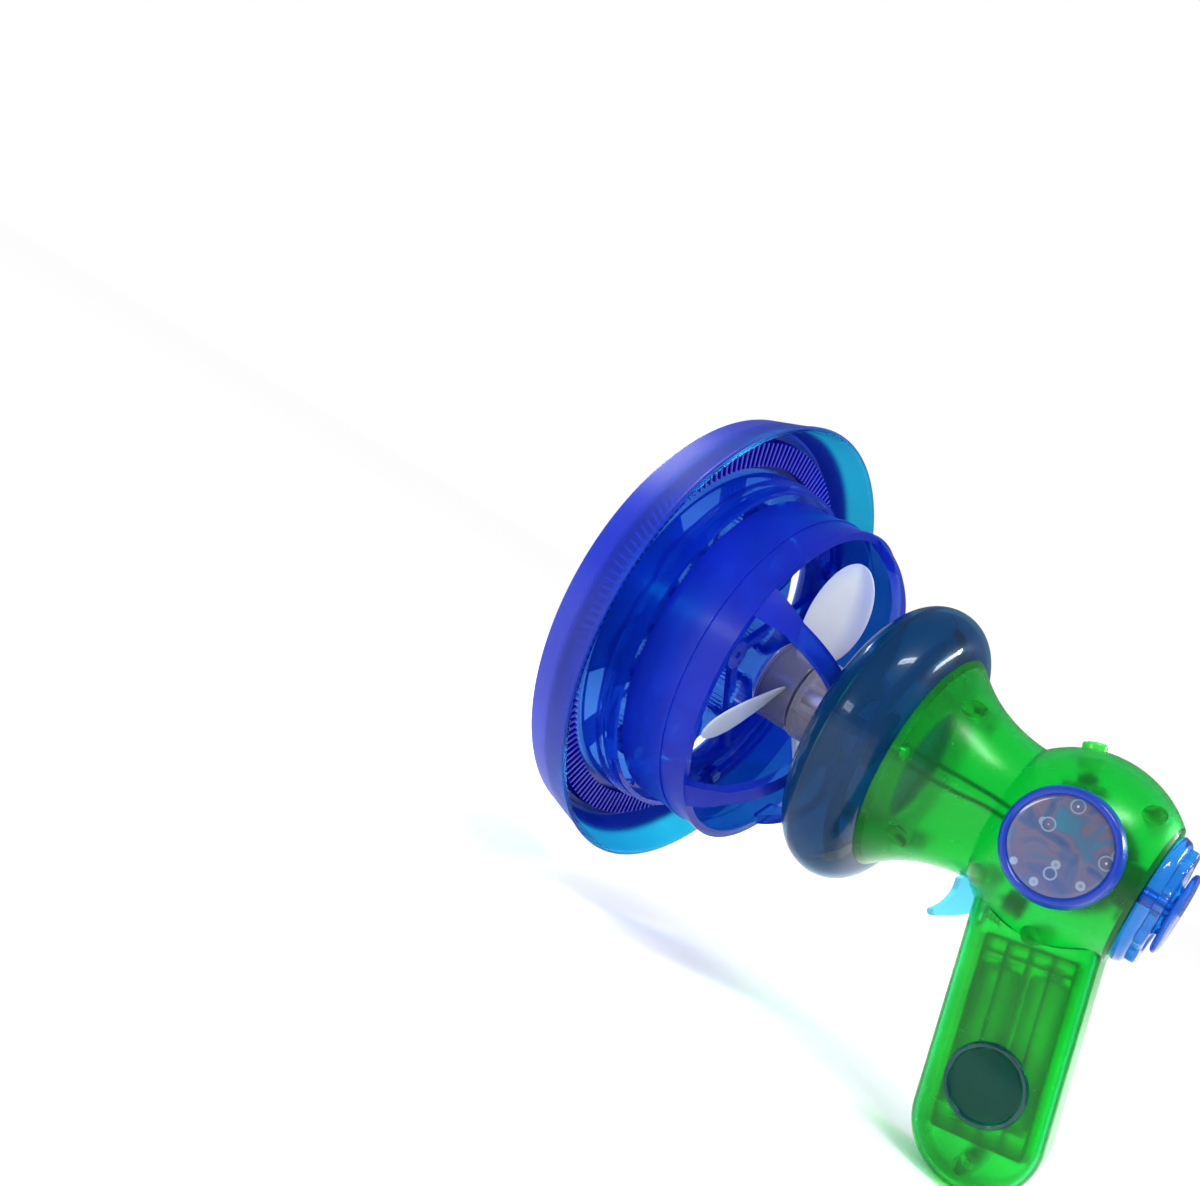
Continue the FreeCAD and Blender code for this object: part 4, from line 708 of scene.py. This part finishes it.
class BUBBLE_OT_motor(PieceOperator, bpy.types.Operator):
    """Finishes of the motor, its housing, its leads and every screw"""
    bl_idname = "bubble.motor"
    bl_label = "Motor and screws"

    def execute(self, context):
        finish_node(clear_plastic("grey_housing", (0.72, 0.70, 0.76, 1.0), 0.12,
                                  haze=(0.36, 0.34, 0.38, 1.0), veil=0.4), "motor_housing")
        finish_node(metal("motor_steel", (0.66, 0.62, 0.62, 1.0), 0.34), "motor_can")
        finish_node(solid_plastic("black_plastic", (0.03, 0.03, 0.035, 1.0), 0.38), "motor_end_cap",
                    "board_parts", "button_switch", "trigger_switch", "speed_control")
        finish_node(metal("screw_steel", (0.62, 0.62, 0.64, 1.0), 0.26, (900.0, 900.0, 900.0)), "head_screws",
                    "motor_screws", "collar_screws", "body_screws", "battery_door_screw")
        finish_node(solid_plastic("red_lead", (0.42, 0.02, 0.02, 1.0), 0.42), "motor_leads")
        return {"FINISHED"}


# ---- collar and body
class BUBBLE_OT_collar(PieceOperator, bpy.types.Operator):
    """The fat clear collar in two shells with screw posts, its light windows and its lights"""
    bl_idname = "bubble.collar"
    bl_label = "Collar"

    def execute(self, context):
        wall = self.body.collar_wall
        centre = (COLLAR_MIDDLE, COLLAR_RING)
        outer, inner = COLLAR_TUBE, COLLAR_TUBE - wall

        def seam(edge):
            """The angles, in degrees, at which the outer and the inner arc reach a place along the barrel."""
            return [math.degrees(math.acos((edge - COLLAR_MIDDLE) / radius)) for radius in (outer, inner)]

        neck, hole = 12.05, 22.0
        split, split_in = seam(FRONT_LOW[0])
        front = np.concatenate([[(centre[0] + outer, neck)], arc(centre, outer, 0, split),
                                arc(centre, inner, split_in, 0), [(centre[0] + inner, neck)]])
        split, split_in = seam(BACK_HIGH[0])
        back = np.concatenate([arc(centre, outer, split, 180, 40),
                               [(centre[0] - outer, hole), (centre[0] - inner, hole)],
                               arc(centre, inner, 180, split_in, 40)])
        post = soft_outline([(centre[0] - inner - 0.6, 1.4), (centre[0] - inner - 0.6, 3.4),
                             (centre[0] + inner + 0.6, 3.4), (centre[0] + inner + 0.6, 1.4)], 0.2, 3)
        points, quads = lathe(post, 28)
        posts = round_about((points + np.array([0.0, COLLAR_RING - 6.0, 0.0]), quads), 3)
        teal = clear_plastic("clear_collar_teal", self.tint.collar, 0.04, deep=0.85, gloss=0.3,
                             gloss_rough=0.05, haze=(0.0, 0.05, 0.15, 1.0), veil=0.34)
        new_piece("collar_front", lathe(front, 192), teal, "toy", "collar_front_shell", slot="collar_teal")
        new_piece("collar_back", joined(lathe(back, 192), posts), teal, "toy", "collar_back_shell",
                  slot="collar_teal")
        finish_node(clear_plastic("clear_window_teal", self.tint.lens, 0.08), "collar_lenses")
        finish_node(board_finish("board_green"), "button_board", "circuit_board")
        finish_node(solid_plastic("board_blue", (0.004, 0.10, 0.26, 1.0), 0.4), "light_board")
        finish_node(clear_plastic("clear_light", (0.90, 0.92, 0.92, 1.0), 0.05), "lights")
        return {"FINISHED"}


class BUBBLE_OT_shells(PieceOperator, bpy.types.Operator):
    """Finishes of the frosted body shells, the battery door and the battery bay"""
    bl_idname = "bubble.shells"
    bl_label = "Body shells"

    def execute(self, context):
        green = clear_plastic("frosted_body_green", self.tint.body, 0.24, 1100.0, 0.05, 1.22, clear=0.97,
                              deep=0.90, gloss=0.2, gloss_rough=0.28)
        finish_node(green, "left_shell", "right_shell", "battery_door")
        finish_node(clear_plastic("bay_green", shade(self.tint.body, 1.0, 0.04), 0.10, clear=0.9),
                    "battery_bay")
        low, high = span("battery_bay")
        middle = (low + high) / 2.0
        middle[1] = high[1]
        wide, tall = 15.2, 33.0
        rise = 15.5 - high[1]
        across = np.linspace(-wide, wide, 5)
        ribs = [box_part((-tall, 0.05, u - 0.5), (tall, rise, u + 0.5)) for u in across]
        ends = [box_part((v - 0.5, 0.05, -wide), (v + 0.5, rise, wide)) for v in (-tall, tall - 5.0, tall)]
        part = placed(joined(*ribs, *ends), middle, GRIP_UP, (1.0, 0.0, 0.0))
        # The ribs are tinted half as bright as the body's green, with a dark green haze: painted shade, so
        # that they show as dark lines through the frosted shell.
        dark = clear_plastic("rib_green", shade(self.tint.body, 0.5), 0.15,
                             haze=(0.0, 0.14, 0.02, 1.0), veil=0.5)
        new_piece("bay_ribs", part, dark, "toy", slot="bay_green")
        return {"FINISHED"}


class BUBBLE_OT_badges(PieceOperator, bpy.types.Operator):
    """A round blue bezel and a printed film disc on each side of the ball"""
    bl_idname = "bubble.badges"
    bl_label = "Badges"

    def execute(self, context):
        rim = self.body.badge_rim
        foot, shelf = 30.9, 31.6
        bezel_blue = clear_plastic("badge_blue", self.tint.badge, 0.10, gloss=0.6,
                                   haze=(0.003, 0.04, 0.46, 1.0), veil=0.7)
        for side, name in ((1.0, "left"), (-1.0, "right")):
            low, high = span("badge_bezel_" + name)
            top = max(abs(low[1]), abs(high[1]))
            radius = (high[0] - low[0]) / 2.0
            inside = radius - rim
            outline = soft_outline([(foot, radius), (top, radius - 1.3), (top, inside + 0.9),
                                    (top - 0.9, inside), (shelf, inside), (foot, inside - 0.4)],
                                   [0.4, 1.2, 0.7, 0.3, 0.3, 0.2], 6)
            ring = placed(lathe(outline, 128), BALL, (0.0, side, 0.0))
            new_piece("badge_ring_" + name, ring, bezel_blue, "toy", "badge_bezel_" + name,
                      slot="badge_blue")
            film_top = top - 0.9
            reach = inside - 0.05
            disc = np.array([(film_top - 1.3, 0.0), (film_top - 1.3, reach), (film_top - 0.25, reach),
                             (film_top - 0.05, reach - 0.4), (film_top, reach - 1.4), (film_top, 0.0)])
            film = picture_film("badge_film_" + name, BALL * MM, radius * MM)
            disc_part = placed(turned_solid(disc, 96), BALL, (0.0, side, 0.0))
            new_piece("badge_film_" + name, disc_part, film, "toy", "badge_disc_" + name,
                      slot="badge_picture")
        return {"FINISHED"}


class BUBBLE_OT_window(PieceOperator, bpy.types.Operator):
    """The round window on the handle's left side: a rounded rim and a domed lens"""
    bl_idname = "bubble.window"
    bl_label = "Handle window"

    def execute(self, context):
        middle = (WINDOW_LOW + WINDOW_HIGH) / 2.0
        base, top = WINDOW_LOW[1], WINDOW_HIGH[1]
        radius = (WINDOW_HIGH[0] - WINDOW_LOW[0]) / 2.0
        rim = self.body.window_rim
        origin = np.array([middle[0], 0.0, middle[2]])
        inside = radius - rim
        outline = soft_outline([(base, radius), (top, radius - 0.5), (top, inside + 0.5), (base, inside)],
                               [0.2, 0.6, 0.6, 0.2], 6)
        rim_blue = clear_plastic("clear_window_blue", (0.05, 0.30, 0.80, 1.0), 0.07)
        new_piece("window_rim", placed(lathe(outline, 112), origin, (0, 1, 0)), rim_blue, "toy",
                  "handle_window_ring", slot="window_blue")
        reach = inside - 0.05
        t = np.linspace(0.0, 1.0, 24)
        dome = np.stack([base + 0.55 + (top - base - 0.55) * (1 - t ** 2), reach * t], -1)[::-1]
        lens = np.concatenate([[(base, 0.0), (base, reach)], dome])
        lens_teal = clear_plastic("clear_lens_teal", self.tint.lens, 0.07, gloss=0.12,
                                  haze=(0.0, 0.06, 0.045, 1.0), veil=0.5)
        new_piece("window_lens", placed(turned_solid(lens, 96), origin, (0, 1, 0)), lens_teal, "toy",
                  "handle_window_lens", slot="lens_teal")
        return {"FINISHED"}


# ---- controls
class BUBBLE_OT_trigger(PieceOperator, bpy.types.Operator):
    """The curved clear trigger, and the spring behind it"""
    bl_idname = "bubble.trigger"
    bl_label = "Trigger"

    def execute(self, context):
        finish_node(clear_plastic("clear_trigger_blue", self.tint.trigger, 0.06, clear=0.95), "trigger")
        finish_node(metal("spring_steel", (0.66, 0.64, 0.60, 1.0), 0.24), "trigger_spring", "contact_springs",
                    "contact_plates")
        return {"FINISHED"}


class BUBBLE_OT_button(PieceOperator, bpy.types.Operator):
    """The round push button on top, with a dished crown and a flange inside the shell"""
    bl_idname = "bubble.button"
    bl_label = "Mode button"

    def execute(self, context):
        top = BALL_RADIUS + 2.4
        radius = 4.2
        brim = radius + 1.3
        start = BALL_INSIDE - 4.6
        flange = math.sqrt(BALL_INSIDE ** 2 - brim ** 2) - 0.4
        crown = np.array([(top - 0.35, 0.0), (top - 0.28, 1.4), (top - 0.05, 2.6), (top, 3.2),
                          (top - 0.12, 3.75), (top - 0.5, 4.1), (top - 1.0, radius)])
        stem = np.array([(flange, radius), (flange, brim), (flange - 1.2, brim),
                         (flange - 1.2, radius), (start, radius), (start, 0.0)])
        part = placed(turned_solid(np.concatenate([crown, stem]), 72), BALL, BUTTON_AXIS, (0.0, 1.0, 0.0))
        green = solid_plastic("button_green", self.tint.button, 0.24, glow=0.3)
        new_piece("push_button", part, green, "mode_button", "mode_button", slot="button_green")
        return {"FINISHED"}


class BUBBLE_OT_dial(PieceOperator, bpy.types.Operator):
    """The rear dial with a waved grip edge, and its lobed cap"""
    bl_idname = "bubble.dial"
    bl_label = "Rear dial"

    def execute(self, context):
        start, end = DIAL_HIGH[0], DIAL_LOW[0]
        wide = DIAL_HIGH[1]
        bore, depth = 3.1, 7.3
        grip_end = start - depth
        hub_end = start - depth * 0.6
        hub = soft_outline([(start, bore), (start, wide - 0.5), (start - 1.2, wide),
                            (hub_end + 1.0, wide - 0.8), (hub_end, wide - 2.2), (hub_end, bore)],
                           [0.2, 0.5, 0.5, 0.6, 0.4, 0.2])
        grip = soft_outline([(hub_end + 0.3, bore), (hub_end + 0.3, wide - 2.0), (grip_end, wide - 2.0),
                             (grip_end, wide - 6.5), (grip_end + 0.7, wide - 8.5), (grip_end + 0.7, 10.5),
                             (grip_end, 9.6), (end, 9.0), (end, bore)],
                            [0.2, 0.3, 1.0, 0.8, 0.8, 0.8, 0.6, 0.4, 0.2])
        lobes = self.body.dial_lobes
        part = joined(lathe(hub, 160), lathe(grip, 240, wave=2.0, lobes=lobes))
        wheel_blue = clear_plastic("clear_dial_blue", self.tint.dial, 0.07,
                                   haze=(0.005, 0.12, 0.60, 1.0), veil=0.2)
        new_piece("dial_wheel", part, wheel_blue, "rear_dial", "rear_dial", slot="dial_blue")
        low, high = CROWN_LOW[0], CROWN_HIGH[0]
        cap = np.array([(high, 0.0), (high, 13.6), (high - 0.5, 14.7), (high - 1.2, 15.0),
                        (high - 1.9, 14.7), (low + 0.1, 13.4), (low, 11.8), (low + 0.3, 9.5),
                        (low + 0.4, 4.5), (low + 0.1, 2.4), (low, 0.0)])
        crown_blue = clear_plastic("clear_crown_blue", (0.02, 0.22, 0.86, 1.0), 0.08,
                                   haze=(0.02, 0.12, 0.62, 1.0), veil=0.35)
        new_piece("dial_crown", turned_solid(cap, 200, wave=1.2, lobes=lobes // 2), crown_blue,
                  "rear_dial", "dial_cap", slot="dial_cap_blue")
        return {"FINISHED"}


# ---- power
class BUBBLE_OT_cells(PieceOperator, bpy.types.Operator):
    """The two cells in the handle, each with a crimped end, a nub and a printed sleeve"""
    bl_idname = "bubble.cells"
    bl_label = "Cells"

    def execute(self, context):
        half = CELL_LENGTH / 2.0
        for number, sign in ((1, 1.0), (2, -1.0)):
            low, high = span("battery_cell_" + str(number))
            middle = (low + high) / 2.0
            axis = GRIP_UP * sign
            outline = np.array([(-half, 0.0), (-half, 5.2), (-half + 0.5, 6.6), (-half + 1.2, 7.0),
                                (-half + 1.7, CELL_RADIUS), (half - 3.0, CELL_RADIUS),
                                (half - 2.5, 7.0), (half - 1.5, 6.4), (half - 1.0, 5.4),
                                (half - 1.0, 2.6), (half - 0.3, 2.5), (half, 2.1), (half, 0.0)])
            part = placed(turned_solid(outline, 72), middle, axis, (0.0, 1.0, 0.0))
            level = float(np.dot(middle * MM, axis)) + 0.010
            sleeve = cell_wrap("cell_sleeve_" + str(number), axis, level)
            new_piece("cell_" + str(number), part, sleeve, "toy", "battery_cell_" + str(number),
                      slot="cell_wrap")
        return {"FINISHED"}


# ---- the stage
LAMP_TARGET = np.array([-0.10, 0.0, -0.01])
CAMERA_PLACE = np.array([-225.62, 389.34, 0.93])
CAMERA_FORWARD = np.array([0.47225, -0.88019, -0.04748])
CAMERA_RIGHT = np.array([-0.74721, -0.42831, 0.50816])


def lay_floor(scene, tint):
    """A wide pale floor just under the toy."""
    mesh = bpy.data.meshes.new("floor")
    level = float(CAD_BOX[0][2]) - 0.0008
    half = 40.0
    corners = [(-half, -half, level), (half, -half, level), (half, half, level), (-half, half, level)]
    mesh.from_pydata(corners, [], [(0, 1, 2, 3)])
    floor = bpy.data.objects.new("floor", mesh)
    scene.collection.objects.link(floor)
    recipe = Recipe("pale_floor")
    paper = recipe.cloud(3.0, 3.0)
    tone = recipe.blend(paper * 0.3, tuple(tint), shade(tint, 0.995))
    mesh.materials.append(recipe.done(recipe.node(
        "ShaderNodeBsdfPrincipled", None, {"Base Color": tone, "Roughness": 0.9, "Specular IOR Level": 0.0})))


def hang_lamps(scene, power):
    """Soft lamps round the toy, each with a place, a size in metres and its share of the power."""
    for name, place, size, share in (("key", (-0.55, 0.55, 1.10), 0.60, 1.0),
                                     ("side", (0.35, 0.95, 0.15), 0.50, 0.22),
                                     ("back", (-0.9, -0.7, 0.6), 0.50, 0.6),
                                     ("front", (0.9, -0.25, 0.5), 0.5, 0.5)):
        lamp = bpy.data.lights.new(name, "AREA")
        lamp.shape = "RECTANGLE"
        lamp.size = size
        lamp.size_y = size * 0.22
        lamp.energy = power * share
        light = bpy.data.objects.new(name, lamp)
        scene.collection.objects.link(light)
        light.matrix_world = looking(np.array(place), LAMP_TARGET)
        light.visible_camera = False


def light_sky(scene, settings):
    """An even white sky, weaker where it is mirrored but not where it shines through."""
    world = bpy.data.worlds.new("sky")
    scene.world = world
    world.use_nodes = True
    tree = world.node_tree
    sky = tree.nodes["Background"]
    sky.inputs["Color"].default_value = (1.0, 1.0, 1.0, 1.0)
    rays = tree.nodes.new("ShaderNodeLightPath")
    glossy = tree.nodes.new("ShaderNodeMapRange")
    glossy.inputs["To Min"].default_value = settings.sky
    glossy.inputs["To Max"].default_value = settings.sky * settings.gloss_sky
    mirrored = tree.nodes.new("ShaderNodeMath")
    mirrored.operation = "SUBTRACT"
    mirrored.use_clamp = True
    tree.links.new(rays.outputs["Is Glossy Ray"], mirrored.inputs[0])
    tree.links.new(rays.outputs["Is Transmission Ray"], mirrored.inputs[1])
    tree.links.new(mirrored.outputs[0], glossy.inputs["Value"])
    tree.links.new(glossy.outputs["Result"], sky.inputs["Strength"])


def place_camera(scene):
    """The camera, which looks from the left and a little behind, rolled to one side."""
    lens = bpy.data.cameras.new("camera")
    lens.lens = 32.564
    lens.sensor_width = 36.0
    lens.shift_x = -0.0833
    lens.shift_y = 0.0808
    lens.clip_start = 0.01
    camera = bpy.data.objects.new("camera", lens)
    scene.collection.objects.link(camera)
    up = np.cross(CAMERA_RIGHT, CAMERA_FORWARD)
    camera.matrix_world = axes_matrix(CAMERA_RIGHT, up, -CAMERA_FORWARD, CAMERA_PLACE * MM)
    scene.camera = camera


class BUBBLE_OT_stage(PieceOperator, bpy.types.Operator):
    """A pale floor, soft lamps, an even sky and the camera"""
    bl_idname = "bubble.stage"
    bl_label = "Stage"

    def execute(self, context):
        scene = context.scene
        lay_floor(scene, scene.bubble_stage.floor)
        hang_lamps(scene, scene.bubble_stage.lamp_power)
        light_sky(scene, scene.bubble_stage)
        place_camera(scene)
        scene.view_settings.view_transform = "Standard"
        scene.cycles.max_bounces = 32
        scene.cycles.transmission_bounces = 28
        scene.cycles.transparent_max_bounces = 32
        return {"FINISHED"}


def axes_matrix(x_axis, y_axis, z_axis, origin):
    """The placement whose columns are three axes and an origin."""
    columns = np.stack([x_axis, y_axis, z_axis, origin], 1)
    return Matrix(np.vstack([columns, [0.0, 0.0, 0.0, 1.0]]).tolist())


def looking(place, target):
    """A placement at a place whose -Z points at a target."""
    back = (place - target) / np.linalg.norm(place - target)
    across = np.cross((0.0, 0.0, 1.0), back)
    across = across / np.linalg.norm(across)
    return axes_matrix(across, np.cross(back, across), back, place)


PIECES = (BUBBLE_OT_rim, BUBBLE_OT_comb, BUBBLE_OT_head, BUBBLE_OT_fan, BUBBLE_OT_motor, BUBBLE_OT_collar,
          BUBBLE_OT_shells, BUBBLE_OT_badges, BUBBLE_OT_window, BUBBLE_OT_trigger, BUBBLE_OT_button,
          BUBBLE_OT_dial, BUBBLE_OT_cells, BUBBLE_OT_stage)
GROUPS = {"bubble_head": HeadSizes, "bubble_body": BodySizes, "bubble_colours": PlasticColours,
          "bubble_stage": StageSettings}


class BUBBLE_PT_panel(bpy.types.Panel):
    """Lists the pieces of the bubble machine"""
    bl_idname = "BUBBLE_PT_panel"
    bl_label = "Bubble Machine"
    bl_space_type = "VIEW_3D"
    bl_region_type = "UI"
    bl_category = "Bubble Machine"

    def draw(self, context):
        for piece in PIECES:
            self.layout.operator(piece.bl_idname)
        for group in GROUPS:
            settings = getattr(context.scene, group)
            for name in settings.bl_rna.properties.keys():
                if name not in ("rna_type", "name"):
                    self.layout.prop(settings, name)


def register():
    for group in GROUPS.values():
        bpy.utils.register_class(group)
    for piece in PIECES + (BUBBLE_PT_panel,):
        bpy.utils.register_class(piece)
    for name, group in GROUPS.items():
        setattr(bpy.types.Scene, name, bpy.props.PointerProperty(type=group))


def unregister():
    for name in GROUPS:
        delattr(bpy.types.Scene, name)
    for known in (BUBBLE_PT_panel,) + PIECES[::-1] + tuple(GROUPS.values()):
        bpy.utils.unregister_class(known)


def main():
    register()
    for piece in PIECES:
        group, name = piece.bl_idname.split(".")
        getattr(getattr(bpy.ops, group), name)()


if __name__ == "__main__":
    main()
